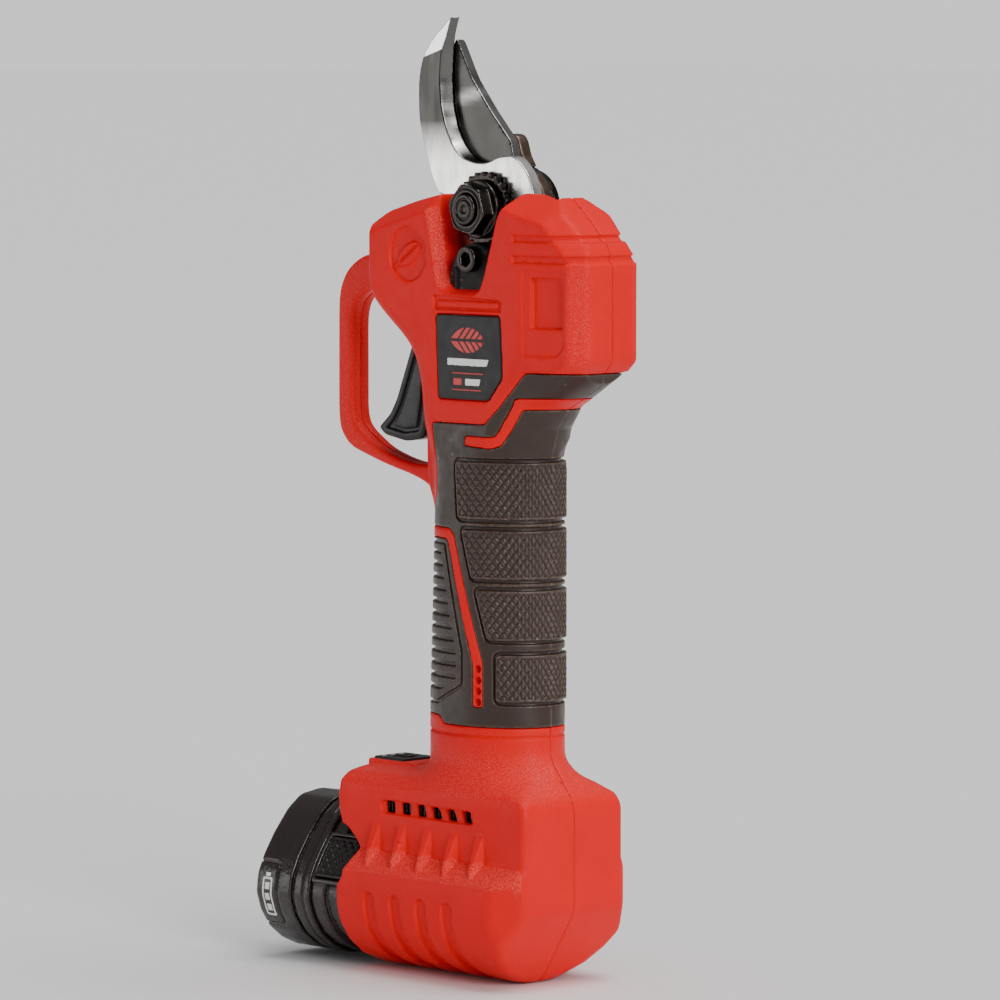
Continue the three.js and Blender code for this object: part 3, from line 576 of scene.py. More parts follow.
SLOT_LIP = [
    (-18.4, 250), (-16.1, 236.1), (-11.4, 214.6), (-9.4, 212), (-5.6, 210.9), (5, 210.9),
    (7.8, 212.6), (9.6, 216.6), (15.2, 234.3), (19, 240.4), (22, 250)]
TRIGGER_GAP = [(-38, 208.5), (-19.4, 208.5), (-19.4, 165), (-34, 165), (-44, 190)]
LATCH_NOTCH = [
    (-70, 47.5), (-46.5, 47), (-42.5, 43.5), (-40, 40.5), (-41.5, 36), (-42.5, 31.5),
    (-44.5, 29), (-70, 28.5)]
BADGE = [(-11.4, 205), (16.6, 205.2), (17.7, 186.9), (11.6, 179.7), (-10.3, 179.7)]
BATTERY_HALF_SECTION = [    # (y, z)
    (0, 4.3), (9.7, 5), (16.1, 7.8), (21.4, 11.9), (25, 17.5), (26.8, 23.3), (26, 29.2),
    (23.4, 34.9), (19.1, 41.5), (13.3, 48.5), (8, 52.4), (0, 53.6), (-5, 53.6), (-5, 4.3)]
SCREWS = [(21.8, 26), (25.5, 51), (-42, 57), (0, 92), (39, 200), (36, 226), (-39, 219)]


def base_field(grid):
    x, y, z = grid.mirrored
    profile = polygon(x, z, BASE_PROFILE, 1.8)
    section = polygon(y, z, soften(BASE_SECTION, 0.7) + [(-5, 69), (-5, 3)])
    plan = polygon(x, grid.y, BASE_PLAN, 1.2)
    return both(both(profile, section, 2.2), plan, 1.2)


def head_field(grid, rear):
    x, y, z = grid.mirrored
    plan = polygon(x, grid.y, HEAD_PLAN, 1)
    nose_radius = interpolated(z, [176, 190, 202], [9, 7, 5])
    head = both(polygon(x, z, HEAD_UNDER, 3), plan, nose_radius)
    head = both(head, polygon(x, z, HEAD_TOP, 2), 1)
    rear_bevel = 0.227 * (x - 22.3) + 0.541 * (y - 16) + 0.81 * (z - 235.8)
    front_bevel = -0.187 * (x + 16) + 0.71 * (y - 16) + 0.68 * (z - 236.1)
    head = both(head, np.where(x > 3, rear_bevel, front_bevel), 0.6)
    rear_corner = (0.688 * x + 0.725 * y + 0.6 * (z - 221.5) - 41.1) / 1.166
    lower_corner = (0.688 * x + 0.725 * y + 0.8 * (192.6 - z) - 41.1) / 1.28
    head = both(both(head, rear_corner, 0.6), lower_corner, 0.5)
    flare = oval(x, y, np.where(x > 0, rear, 60), GRIP_B + 0.8)
    return both(head, np.where(z < 188.7, flare, -50))


def upper_field(grid):
    """The handle and the head, blended over the flare."""
    x, y, z = grid.mirrored
    rear = interpolated(z, FLARE_HEIGHTS, FLARE_REARS)
    front = interpolated(z, [88, 150], [25.2, GRIP_A])
    handle = oval(x, y, np.where(x > 0, rear, front), GRIP_B)
    share = fade(z, 156, 176)
    share = share * share * (3 - 2 * share)
    upper = handle * (1 - share) + head_field(grid, rear) * share
    return both(upper, 60 - z)


def guard_field(grid):
    """The trigger guard, with the cheeks that carry it down into the handle."""
    x, y, z = grid.mirrored
    ring = without(polygon(x, z, GUARD_OUTER, 4), polygon(x, z, GUARD_INNER, 4))
    cheeks = polygon(x, z, CHEEKS, 3)
    return either(both(ring, y - GUARD_HALF, 1.6), both(cheeks, y - 8.5, 1.4), 1.5)


def skin_region(grid):
    """The part of the body that the black skin covers, seen from the side."""
    region = polygon(grid.x, grid.z, SKIN_EDGE, 1.2)
    for stripe in (STRIPE_LOW, STRIPE_HIGH):
        region = without(region, polygon(grid.x, grid.z, stripe, 1), 0.3)
    return region


# ---- details of the red housing
VENT_HEIGHT = 54.1
VENTS = spaced(-27.4, 7, 6)
FINS = spaced(-33, 11.5, 5)
BELLY_GROOVES = spaced(-29.6, 11.5, 4)
STRIPE_HOLES = (98.7, 95.2, 91.9, 88.6)
SHOULDER_BANDS = ((227.6, 229.7), (221.4, 223.6))
EMBLEM = (-24.1, 222.8, 8.3)    # x, z and radius
LEAF_TURN = (0.83, 0.56)        # cosine and sine of the leaf's slope
FLANK = 12                    # details of the head's flank stay this far from the seam


def add_vents(grid, body):
    """A row of openings in a shallow rounded channel."""
    x, z = grid.x, grid.z - VENT_HEIGHT
    inside = 15 - np.abs(grid.y)
    body = sunk(body, both(stadium(x + 9.9, z, 19, 0, 2.1), inside), 0.9, 0.3)
    for middle in VENTS:
        body = without(body, both(stadium(x - middle, z, 1.5, 1.3, 0.5), inside))
    return body


def add_fins(grid, body):
    """Wedges between the upper wall and the ledge, thinner towards their edge."""
    x, y, z = grid.mirrored
    triangle = polygon(y, z, [(19, 50.6), (21, 49.8), (25.5, 38), (25.5, 34), (19, 34)])
    half = interpolated(y, [20.5, 25.5], [2.1, 0.5])
    for middle in FINS:
        body = either(body, both(triangle, np.abs(x - middle) - half, 0.3), 0.2)
    return body


def add_belly_grooves(grid, body):
    x, z = grid.x, grid.z
    for middle in BELLY_GROOVES:
        rounded_top = np.hypot(x - middle, np.maximum(z - 26, 0)) - 2.4
        body = sunk(body, both(rounded_top, z - 50), 1, 0.35)
    return body


def add_panel_frame(grid, body):
    """The low frame round the indicator panel, on the front of the shoulder."""
    x, y, z = grid.mirrored
    rim = both(both(z - 66.3, slab(x, -50.8, -30), 0.6), y - 8.2, 0.8)
    body = either(body, both(rim, 60 - z), 0.8)
    well = block((x, -50.1, -35.7), (y, -1, 7.1))
    return without(body, both(well, 65 - z), 0.2)


def add_emblem(grid, body):
    """A round recess with a plain raised leaf, which has a midrib and a stalk."""
    x, y, z = grid.mirrored
    body = sunk(body, both(disc(x, z, *EMBLEM), FLANK - y), 1.1, 0.3)
    cos, sin = LEAF_TURN
    u = cos * (x - EMBLEM[0]) + sin * (z - EMBLEM[1])
    v = cos * (z - EMBLEM[1]) - sin * (x - EMBLEM[0])
    leaf = both(disc(u, v, 0, -4.4, 7.2), disc(u, v, 0, 4.4, 7.2))
    leaf = without(leaf, both(np.abs(v) - 0.35, np.abs(u) - 8))
    stalk = both(np.abs(v) - 0.45, np.abs(u + 6) - 1.4)
    leaf = both(either(leaf, stalk), slab(y, 14, HEAD_HALF - 0.05))
    return either(body, leaf)


def add_rear_window(grid, body):
    """A shallow frame with a deeper rectangular recess, at the rear of the flank."""
    x, y, z = grid.mirrored
    outer = polygon(x, z, [
        (25.6, 219.3), (42.8, 219.8), (42.8, 197.2), (39.8, 193.8), (26.3, 193.8)], 1)
    inner = polygon(x, z, [(28.9, 217.1), (41.2, 217.1), (41.6, 202), (28.9, 202)], 0.6)
    body = sunk(body, both(outer, FLANK - y), 0.55, 0.2)
    return sunk(body, both(inner, FLANK - y), 1.5, 0.15)


def add_shoulder_bands(grid, body):
    """Two grooves that run round the back of the head and start on a slant."""
    for low, high in SHOULDER_BANDS:
        slant = (grid.z - high) + 0.25 * (22.4 - grid.x)
        band = both(block((grid.z, low, high), (grid.x, 21.8, 80)), slant)
        body = sunk(body, band, 0.9, 0.25)
    return body


def add_raised_bar(grid, body):
    """A plain raised bar in a recess, above the badge."""
    x, y, z = grid.mirrored
    recess = polygon(x, z, [(-12.9, 211), (17.3, 209.9), (17, 206.4), (-12.4, 206.4)], 0.8)
    body = sunk(body, both(recess, FLANK - y), 0.9, 0.2)
    bar = block((x, -10.8, 15.4), (z, 207.3, 209.3), (y, 10, 16.2))
    return either(body, both(bar, body - 0.85))


def add_badge_recess(grid, body):
    plate = polygon(grid.x, grid.z, BADGE, 1.4) - 0.35
    return sunk(body, both(plate, FLANK - np.abs(grid.y)), 0.9, 0.2)


def add_head_slot(grid, body):
    """The slot between the two horns, with a wider lip at the outer face."""
    y = np.abs(grid.y)
    share = fade(y, 12.6, 16)
    edge = polygon(grid.x, grid.z, SLOT_EDGE)
    lip = polygon(grid.x, grid.z, SLOT_LIP, 1)
    return without(body, edge * (1 - share) + lip * share, 0.3)


def hollow(grid, base, upper):
    """The space inside, which leaves a web along the slot between the horns."""
    y, z = np.abs(grid.y), grid.z
    deep = np.where(z > 189.5, HEAD_WALL, WALL + SKIN)
    inner = either(base + WALL, upper + deep)
    return both(inner, -both(polygon(grid.x, z, SLOT_EDGE) - 2.4, 6.5 - y))


def housing_half(grid):
    """The red shell, as far as its two halves agree."""
    x, y, z = grid.mirrored
    base = base_field(grid)
    upper = upper_field(grid)
    fillet = interpolated(x, [-24, -12, 16], [5, 8, 12])
    body = np.where(z < 98, either(base, upper, fillet), upper)
    for add in (add_vents, add_fins, add_belly_grooves, add_panel_frame):
        body = np.where(z < 75, add(grid, body), body)
    collar_groove = both(np.abs(z - 78.2) - 0.35, -(body + 0.6))
    body = np.where(z > 72, without(body, collar_groove, 0.2), body)
    for add in (add_emblem, add_rear_window, add_shoulder_bands, add_raised_bar, add_badge_recess):
        body = add(grid, body)

    body = without(body, both(skin_region(grid), -(upper + SKIN)), 0.3)
    body = np.where(z > 135, either(body, guard_field(grid), 2), body)
    body = add_head_slot(grid, body)
    body = without(body, hollow(grid, base, upper))

    body = without(body, both(polygon(x, z, TRIGGER_GAP), y - 6.1), 0.4)
    battery_mouth = polygon(y, z, BATTERY_HALF_SECTION) + 1.7
    body = without(body, both(battery_mouth, x + 38.4), 0.4)
    notch = both(polygon(x, z, LATCH_NOTCH, 1.4), 10 - y)
    body = without(body, notch, 0.4)
    for middle in STRIPE_HOLES:
        hole = both(disc(x, z, 6.9, middle, 1.15), 10 - y)
        body = without(body, both(hole, -(upper + SKIN + 1)), 0.15)
    return body


def texture_mask(points):
    """Where the moulded surface has the coarse grain and the denser painted glints."""
    x, y, z = points[:, 0], np.abs(points[:, 1]), points[:, 2]
    ledge = (y > 21.2) & (z > 34) & (z < 41)
    rear_facet = 0.5 * fade(x, 42, 45) * fade(y, 8, 10.5) * fade(z, 189, 191) * fade(z, 222, 219)
    horn = (y > 12.4) & (y < 15.95) & (x < -8.6) & (x > -16.6) & (z > 213) & (z < 237)
    shoulder = 0.6 * fade(z, 58, 62) * fade(z, 76, 70)
    guard = ((x < -46) & (z > 150)) * 0.3
    return np.maximum.reduce([ledge, rear_facet, horn, shoulder, guard]).astype(np.float32)


def make_housing():
    """The halves differ in the opening of the slot and in the screw wells, on the right."""
    grid = Grid((-70, -0.8, 1), (50.5, 29, 244), 0.4)
    half = housing_half(grid)
    x, y, z = grid.axes
    for side, opening in (("left", 5.5), ("right", 11.2)):
        field = without(half, block((x, -30, 31), (y, -5, opening), (z, 207, 270)), 0.3)
        field = both(field, 0.05 - y, 0.1)
        if side == "right":
            for screw_x, screw_z in SCREWS:
                well = both(disc(x, z, screw_x, screw_z, 3.1), 11.3 - y)
                field = without(field, well, 0.3)
        shape = surface(grid, field, 0.06)
        if side == "left":
            shape = flipped(shape)
        shell = piece(f"housing_shell_{side}", shape, "red_housing", "housing", [f"housing_{side}"])
        mark(shell, "texture", texture_mask(shape[0]))


def make_shade_screens():
    """Ribbed black screens behind the vents: dust screens, and a dark plate that stands in for the shade inside
    the housing.
    """
    grid = Grid((-33, 17.4, 49.6), (13.6, 19, 58.6), 0.25)
    x, y, z = grid.axes
    shade_plate = block((x, -31.6, 12.2), (y, 17.7, 18.5), (z, 50.4, 57.8))
    ribs = zigzag(x / 1.6) - 0.5
    shade_plate = both(shade_plate, both(-ribs, y - 18.2) - 0.05)
    pair("vent_shade_screen_{}", surface(grid, shade_plate, 0.02), "black_plastic", "housing")


# ---- black skin of the handle
PADS = [
    [(-1.6, 161), (-0.4, 144), (60, 144), (60, 161)],
    [(1.2, 140.5), (5, 126), (60, 126), (60, 140.5)],
    [(6.5, 122.4), (10.5, 107.6), (60, 107.6), (60, 122.4)],
    [(13.1, 103), (13.1, 89), (60, 89), (60, 103)]]
RIB_PANEL = [(-40, 136.4), (-7.6, 136), (1, 103.4), (1, 93.2), (-11.8, 87.4), (-40, 86.4)]
RIB_GROOVES = spaced(133.2, -3.75, 13)
KNURL_WIDE = 2.4
KNURL_HIGH = 3.2
KNURL_DEEP = 0.55


def knurl(across, up, wide, high, flat):
    """Diamond pyramids from 0 in their grooves to 1 on their flat tops."""
    diamonds = np.minimum(zigzag(across / wide + up / high), zigzag(across / wide - up / high))
    return np.minimum(diamonds, flat) / flat


def make_grip():
    grid = Grid((-26.6, -0.8, 79.5), (50, 19, 190.5), 0.3)
    x, y, z = grid.mirrored
    upper = upper_field(grid)
    skin = upper
    around = 20 * np.arctan2(y / GRIP_B, x / GRIP_A)
    diamonds = KNURL_DEEP * knurl(around, z, KNURL_WIDE, KNURL_HIGH, 0.42)
    for outline in PADS:
        pad = polygon(x, z, outline, 1.2)
        skin = sunk(skin, np.abs(pad - 0.6) - 0.65, 0.9, 0.2)
        skin = proud(skin, pad, 0.5)
        skin = np.where(pad < -0.7, skin + KNURL_DEEP - diamonds, skin)
    panel = polygon(x, z, RIB_PANEL, 1)
    skin = sunk(skin, np.abs(panel) - 0.55, 0.8, 0.2)
    for height in RIB_GROOVES:
        skin = sunk(skin, both(np.abs(z - height) - 0.7, panel + 2.6, 0.6), 1.1, 0.25)
    skin = both(skin, skin_region(grid) + 0.12, 0.45)
    skin = without(skin, upper + SKIN)
    skin = without(skin, guard_field(grid) - 0.3, 0.3)
    skin = both(skin, 0.04 - grid.y, 0.1)
    pair("grip_skin_{}", surface(grid, skin), "grip_rubber", "housing", ["grip_{}"])


# ---- blades
def arc(radius, start, end):
    """Points round the pivot, every 10 degrees."""
    angles = [math.radians(angle) for angle in range(start, end, 10)]
    return [(PIVOT[0] + radius * math.cos(a), PIVOT[1] + radius * math.sin(a)) for a in angles]


HUB = arc(20, 168, 379)
HOOK_BACK = [
    (-24, 288.9), (-27.2, 285.2), (-29, 282), (-30.4, 277.5), (-30.9, 272.3), (-30.6, 263.7),
    (-28.2, 255.1), (-25.1, 246.6), (-21.9, 240.9)]
HOOK_ROOT = HUB + [(17.5, 247.3), (13.4, 251.5), (10.4, 253), (4.2, 252.4)]
HOOK_NEAR = HOOK_ROOT + [
    (0, 250.6), (-5.1, 250.3), (-11.4, 251.8), (-15.6, 255.3), (-18.7, 261), (-20.8, 267.4),
    (-21.6, 276), (-20.8, 283.9), (-18.7, 288.9), (-17.6, 293.6), (-16.6, 295.1)] + HOOK_BACK
HOOK_FAR = HOOK_ROOT + [
    (-2, 250.4), (-8, 250.8), (-13.6, 255.3), (-17.2, 261), (-19.1, 267.4), (-19.6, 276),
    (-19.1, 283.9), (-18.6, 288.5), (-16.9, 293.7), (-16.1, 295.1)] + HOOK_BACK
BLADE_BACK = arc(15.5, 170, 421) + [
    (6.5, 252.7), (5.5, 257), (-3.3, 266.1), (-11.7, 276), (-18.5, 288.2)]
BLADE = BLADE_BACK + [(-21.5, 283), (-23.3, 274), (-22.6, 262), (-19.5, 251), (-16.2, 243)]
GRIND_LINE = BLADE_BACK + [(-18.5, 282), (-19.6, 274), (-18.6, 262), (-15.5, 251)]
CARRIER = arc(16.2, 112, 376) + [
    (15.6, 242), (13.6, 244.9), (9.1, 249.1), (6.4, 253), (5.1, 257.3), (3.4, 259.2),
    (-1, 259.4), (-3.5, 257)]
BORE = 4.9
LOCK_SCREW = (1.5, 221.9)
HOOK_FACE = -4.98       # the near face of the hook


def facet_rise(x, z):
    """Height above the slanting foot of the ground facet at the hook's tip."""
    return ((z - 282.2) - 0.3 * (x + 29)) / 1.044


def make_counter_blade():
    """The hook: its concave edge is bevelled from the near outline to the far one."""
    grid = Grid((-33, -6, 215), (23, 0, 295.6), 0.2)
    x, y, z = grid.axes
    share = (y + 5) / 4
    near = polygon(x, z, HOOK_NEAR, 2.2)
    far = polygon(x, z, HOOK_FAR, 2.2)
    hook = both(near * (1 - share) + far * share, slab(y, HOOK_FACE, -1), 0.25)
    hook = both(hook, 0.995 * (HOOK_FACE - y) + 0.1 * facet_rise(x, z), 0.05)
    hook = without(hook, disc(x, z, *PIVOT, BORE), 0.2)
    hook = without(hook, disc(x, z, *LOCK_SCREW, 2.2))
    shape = surface(grid, hook)
    counter = piece("counter_blade_plate", shape, "bright_steel", "housing", ["counter_blade"])

    x, y, z = shape[0].T
    on_face = np.clip((-4.6 - y) / 0.25, 0, 1)
    # Painted reflection: the face darkens from z 250 to 263, and the bevel has dark bands round a bright band near
    # z 258, lighter again at its foot and towards the shoulder.
    painted_bevel_reflection = fade(np.abs(z - 258), 2, 6.5) * fade(z, 241.5, 244.5) * fade(x, 2, -3)
    mark(counter, "painted_reflection", on_face * fade(z, 250, 263) + (1 - on_face) * 0.9 * painted_bevel_reflection)
    counter.data.materials.append(MATERIALS["tip_steel"])
    for face in counter.data.polygons:
        x, _, z = face.center
        if facet_rise(x / MM, z / MM + DATUM) > 0 and face.normal.y < -0.9:
            face.material_index = 1


def make_cutting_blade():
    grid = Grid((-25, -1.6, 220), (17.5, 3.6, 289.5), 0.2)
    x, y, z = grid.axes
    blade = both(polygon(x, z, BLADE, 1.2), slab(y, -0.7, 2.7), 0.25)
    grind = polygon(x, z, GRIND_LINE, 3)
    blade = both(blade, 0.9 * (y - 0.2) + 0.55 * grind - 2.2, 0.2)
    blade = without(blade, disc(x, z, *PIVOT, BORE), 0.2)
    shape = surface(grid, blade, 0.02)
    cutter = piece("cutting_blade_plate", shape, "blade_steel", "moving_blade", ["cutting_blade"])

    x, y, z = shape[0].T
    # Painted highlights: a lighter strip along the spine and a bright sheen band across the face.
    spine_highlight = np.clip((0.8 * (x - 5.5) + 0.62 * (z - 257) + 2.6) / 1.2, 0, 1) * (y > -0.5) * (z > 250)
    sheen = np.exp(-((z - 271 - 0.25 * (x + 12)) / 1.6) ** 2)
    mark(cutter, "painted_reflection", np.clip(0.35 * spine_highlight + 0.35 * sheen, 0, 1))


def make_carrier():
    grid = Grid((-17.5, 2.2, 219.5), (18, 8.2, 260.6), 0.22)
    x, y, z = grid.axes
    plate = both(polygon(x, z, CARRIER, 1.5), slab(y, 3, 7.4), 0.7)
    for hole in ((*PIVOT, BORE), (8.6, 248, 1.6)):
        plate = without(plate, disc(x, z, *hole), 0.3)
    piece("carrier_plate", surface(grid, plate, 0.02), "carrier_steel", "moving_blade",
          ["blade_carrier"])


# ---- pivot and gear frame
NUT_TURN = 0.3
WASHER_TEETH = 24


def make_nut_and_washer():
    grid = Grid((-12.6, -16.4, 224), (13.2, -4.6, 249.6), 0.2)
    u, v, y = grid.x - PIVOT[0], grid.z - PIVOT[1], grid.y
    radial = np.hypot(u, v)
    body = both(hexagon(u, v, 13.9, NUT_TURN), slab(y, -14.6, -8.3), 0.3)
    chamfer = 0.8 * (radial - 7.5) + 0.6 * (-y - 14.6)
    body = both(body, chamfer)
    flange = both(radial - 9, slab(y, -10.2, -8.3), 0.6)
    nut = without(either(body, flange, 0.8), radial - BORE, 0.2)
    nut = sunk(nut, both(np.abs(radial - 6.3) - 0.25, y + 14.2), 0.3, 0.1)
    piece("flange_nut", surface(grid, nut, 0.02), "black_steel", "housing", ["pivot_nut"])

    teeth = zigzag(WASHER_TEETH * np.arctan2(v, u) / (2 * math.pi))
    rim = radial - 10.4 - 0.9 * np.clip(2.2 * (teeth - 0.35), 0, 1)
    washer = both(rim * 0.8, slab(y, -7.9, -5.4), 0.25)
    washer = without(washer, radial - BORE, 0.2)
    piece("toothed_washer", surface(grid, washer, 0.02), "black_steel", "housing", ["lock_washer"])


def make_bolt():
    """The pivot bolt: its turned end shows in the nut, its hexagon head is on the right."""
    grid = Grid((-12.4, -16.2, 224), (13.2, 16.2, 249.6), 0.25)
    u, v, y = grid.x - PIVOT[0], grid.z - PIVOT[1], grid.y
    radial = np.hypot(u, v)
    shank = both(radial - 4.6, slab(y, -15.6, 12.5), 0.5)
    shank = sunk(shank, both(np.abs(radial - 3.1) - 0.35, y + 14), 0.5, 0.2)
    shank = sunk(shank, both(radial - 1.2, y + 14), 0.6, 0.3)
    head = both(radial - 11.7, slab(y, 11.4, 14.2), 0.8)
    crown = both(hexagon(u, v, 14, NUT_TURN), slab(y, 13, 15.4), 0.5)
    bolt = either(either(shank, head, 0.4), crown, 0.4)
    piece("pivot_bolt_body", surface(grid, bolt, 0.02), "black_steel", "housing", ["pivot_bolt"])


def make_lock_screw():
    grid = Grid((-3.4, -16.6, 217), (6.4, -0.8, 226.8), 0.2)
    u, v, y = grid.x - LOCK_SCREW[0], grid.z - LOCK_SCREW[1], grid.y
    radial = np.hypot(u, v)
    head = both(radial - 4, slab(y, -16, -12.8), 0.5)
    shank = both(radial - 1.9, slab(y, -13.4, -1.4), 0.3)
    socket = both(hexagon(u, v, 4, 0.2), y + 13.6)
    screw = without(either(head, shank, 0.3), socket, 0.15)
    piece("lock_screw_body", surface(grid, screw, 0.02), "black_steel", "housing", ["lock_screw"])


def make_gear_frame():
    """The black casting that fills the bottom of the slot and carries the lock screw."""
    grid = Grid((-14, -13.4, 196), (14, 13.4, 229), 0.3)
    x, y, z = grid.axes
    section = polygon(y, z, [
        (-12.5, 203.8), (-8.7, 203.8), (-8.7, 216.6), (-5.4, 218.5), (-5.4, 224.8), (-10.6, 224.8),
        (-12.5, 222.6)], 0.8)
    profile = polygon(x, z, [
        (-9, 203), (10, 203), (10, 219), (7.4, 225), (5.6, 227), (-2.6, 227), (-6, 224),
        (-9, 218)], 1.5)
    upright = both(section, profile, 0.6)
    boss = both(disc(x, z, *LOCK_SCREW, 5), slab(y, -12.6, -6), 0.5)
    upright = either(upright, boss, 0.8)
    rib = both(both(np.abs(x + 5.6) - 0.9, slab(z, 206, 219)), slab(y, -13.1, -12), 0.4)
    upright = either(upright, rib, 0.5)
    column = np.hypot(x, y)
    flange = both(column - 13, slab(z, 197, 204.5), 0.6)
    flange = both(flange, np.abs(y) - 12.5, 0.4)
    body = either(upright, flange, 0.8)
    body = without(body, both(column - 8.2, z - 203.3))
    body = without(body, column - 5.4)
    body = without(body, both(disc(x, z, *LOCK_SCREW, 2.2), y))
    piece("gear_frame_casting", surface(grid, body, 0.02), "cast_black", "housing",
          ["gear_frame"])


# ---- trigger
TRIGGER = [
    (-22.9, 204), (-23.6, 206.3), (-25.2, 207.5), (-27.8, 207.5), (-29.4, 206.3), (-30.1, 204),
    (-33.8, 194.7), (-37.7, 185.3), (-40.8, 177.8), (-43.9, 172.9), (-49, 168.7), (-46.3, 166.4),
    (-36.9, 164.8), (-29.1, 166), (-27.6, 168.4), (-26, 176), (-24, 192)]
TRIGGER_PIN = (-26.5, 204)
TRIGGER_RIBS = spaced(0, 3, 9)


def make_trigger():
    """A lever with a groove round its flanks, finger ribs, and a fork round its spring."""
    grid = Grid((-50.5, -6.6, 163.8), (-21.5, 6.6, 209), 0.25)
    x, y, z = grid.mirrored
    outline = polygon(x, z, TRIGGER, 1.5)
    plain = both(outline, y - 5.5, 1.2)
    grooved = sunk(plain, both(np.abs(outline + 3.2) - 0.7, 4 - y), 0.9, 0.3)
    lever = np.where(z < 197, grooved, plain)
    for rise in TRIGGER_RIBS:
        across = np.abs((z - 172 - rise) + 0.5 * (x + 40)) - 0.45
        lever = sunk(lever, both(across, both(y - 4.2, x + 31.5)), 0.35, 0.15)
    lever = without(lever, disc(x, z, *TRIGGER_PIN, 1.75), 0.2)
    lever = without(lever, block((x, -31.2, -21), (y, -1, 2.1), (z, 198, 211)), 0.2)
    piece("trigger_lever", surface(grid, lever, 0.02), "black_smooth", "trigger",
          ["trigger"])


# ---- battery
CELL_RADIUS = 9.2
CELL_SPREAD = 9.6       # the lower cells' distance from the seam
CELL_LOW = 19
CELL_HIGH = CELL_LOW + math.sqrt((2 * CELL_RADIUS + 0.8) ** 2 - CELL_SPREAD ** 2)
LATCH = {"front": -56, "back": -42, "y": 22.2, "z": 36.6, "tilt": 0.55, "height": 13.5,
         "thick": 3.4}
LATCH_HALF = (LATCH["back"] - LATCH["front"]) / 2
LATCH_TALL = LATCH["height"] / 2
SPRING_ROOM = 3.6


def battery_section(grid):
    return polygon(np.abs(grid.y), grid.z, BATTERY_HALF_SECTION, 1.5)


def cell_room(grid):
    y = np.abs(grid.y)
    lower = np.hypot(y - CELL_SPREAD, grid.z - CELL_LOW)
    return either(lower, np.hypot(y, grid.z - CELL_HIGH)) - CELL_RADIUS - 0.3


def latch_place(grid):
    """Coordinates on the latch: along it, up its slope, and outwards from its face."""
    cos, sin = math.cos(LATCH["tilt"]), math.sin(LATCH["tilt"])
    dy, dz = np.abs(grid.y) - LATCH["y"], grid.z - LATCH["z"]
    along = grid.x - (LATCH["front"] + LATCH["back"]) / 2
    return along, dz * cos - dy * sin, dy * cos + dz * sin


def make_cap():
    """The battery's head, with grooves round it, a framed mark and a raised front."""
    grid = Grid((-83.6, -27.8, 3.2), (-56.8, 27.8, 54.6), 0.33)
    x, y, z = grid.mirrored
    section = battery_section(grid)
    cap = both(section, -(x + 82.95), 1.7)
    cap = both(cap, x + 58, 0.5)
    cap = sunk(cap, np.abs(x + 65.6) - 0.9, 1.3, 0.4)
    cap = sunk(cap, np.abs(x + 60.6) - 0.35, 0.4, 0.2)
    tab = polygon(x, z, [(-90, 32.6), (-72.6, 32.6), (-72.6, 13.4), (-90, 13.4)], 2.2)
    tab_edge = both(np.abs(tab) - 0.3, both(14 - y, z - 40))
    cap = sunk(cap, tab_edge, 0.45, 0.15)
    face_groove = both(np.abs(section + 7.5) - 0.5, slab(x, -84, -82.4))
    cap = sunk(cap, face_groove, 0.4, 0.2)
    cap = without(cap, both(cell_room(grid), -77 - x))
    piece("battery_cap_shell", surface(grid, cap, 0.03), "black_plastic", "battery", ["battery_cap"])


def make_stem():
    """The battery's body: a collar, a throat with the latch wells, and the stem in the bay."""
    grid = Grid((-58.4, -27.4, 4), (5.8, 27.4, 53.8), 0.4)
    x, y, z = grid.mirrored
    section = battery_section(grid)
    collar = both(section + 1, slab(x, -57.7, -51.8), 0.4)
    throat = both(section + 2.2, slab(x, -52.4, -39), 0.4)
    stem_section = polygon(y, z, [
        (0, 7.6), (11, 7.6), (17.5, 10.5), (20.9, 16), (20.6, 22.5), (12.6, 36.5), (9.5, 43),
        (5, 46.4), (0, 47), (-5, 47), (-5, 7.6)], 1)
    stem = both(stem_section, slab(x, -42, 5), 0.8)
    body = either(either(collar, throat), stem)

    along, up, out = latch_place(grid)
    latch_frame = block((along, -8.6, 9.5), (up, -8.6, 8.6), (out, -6, 0.6))
    body = either(body, both(latch_frame, section + 0.2), 0.5)
    half, tall = LATCH_HALF + 0.5, LATCH_TALL + 0.5
    well = block((along, -half, half), (up, -tall, tall), (out, -LATCH["thick"] - 2, 6))
    body = without(body, well, 0.2)
    spring_pocket = both(np.hypot(along, up) - SPRING_ROOM, np.abs(out + 5.5) - 4)
    body = without(body, spring_pocket, 0.2)

    body = without(body, both(cell_room(grid), x + 6.5))
    body = without(body, block((x, -4.6, 0), (y, -1, 12), (z, 12, 40)))
    body = without(body, block((x, -1, 9), (y, 6.6, 9.4), (z, 16, 26)))
    piece("battery_stem_shell", surface(grid, body, 0.03), "black_plastic", "battery", ["battery_stem"])


def make_latches():
    grid = Grid((-57, 13.5, 28), (-41, 27.3, 46), 0.22)
    along, up, out = latch_place(grid)
    key = block((along, -LATCH_HALF, LATCH_HALF), (up, -LATCH_TALL, LATCH_TALL))
    key = both(key, slab(out, -LATCH["thick"], 0), 0.6)
    on_face = (np.abs(along) < LATCH_HALF - 0.9) & (np.abs(up) < LATCH_TALL - 0.85) & (out > -1.2)
    key = key + np.where(on_face, 0.8 - 0.8 * knurl(along, up, 3.4, 3.4, 0.5), 0)
    pair("latch_key_{}", surface(grid, key), "black_smooth", "latch_{}",
         ["latch_{}"])


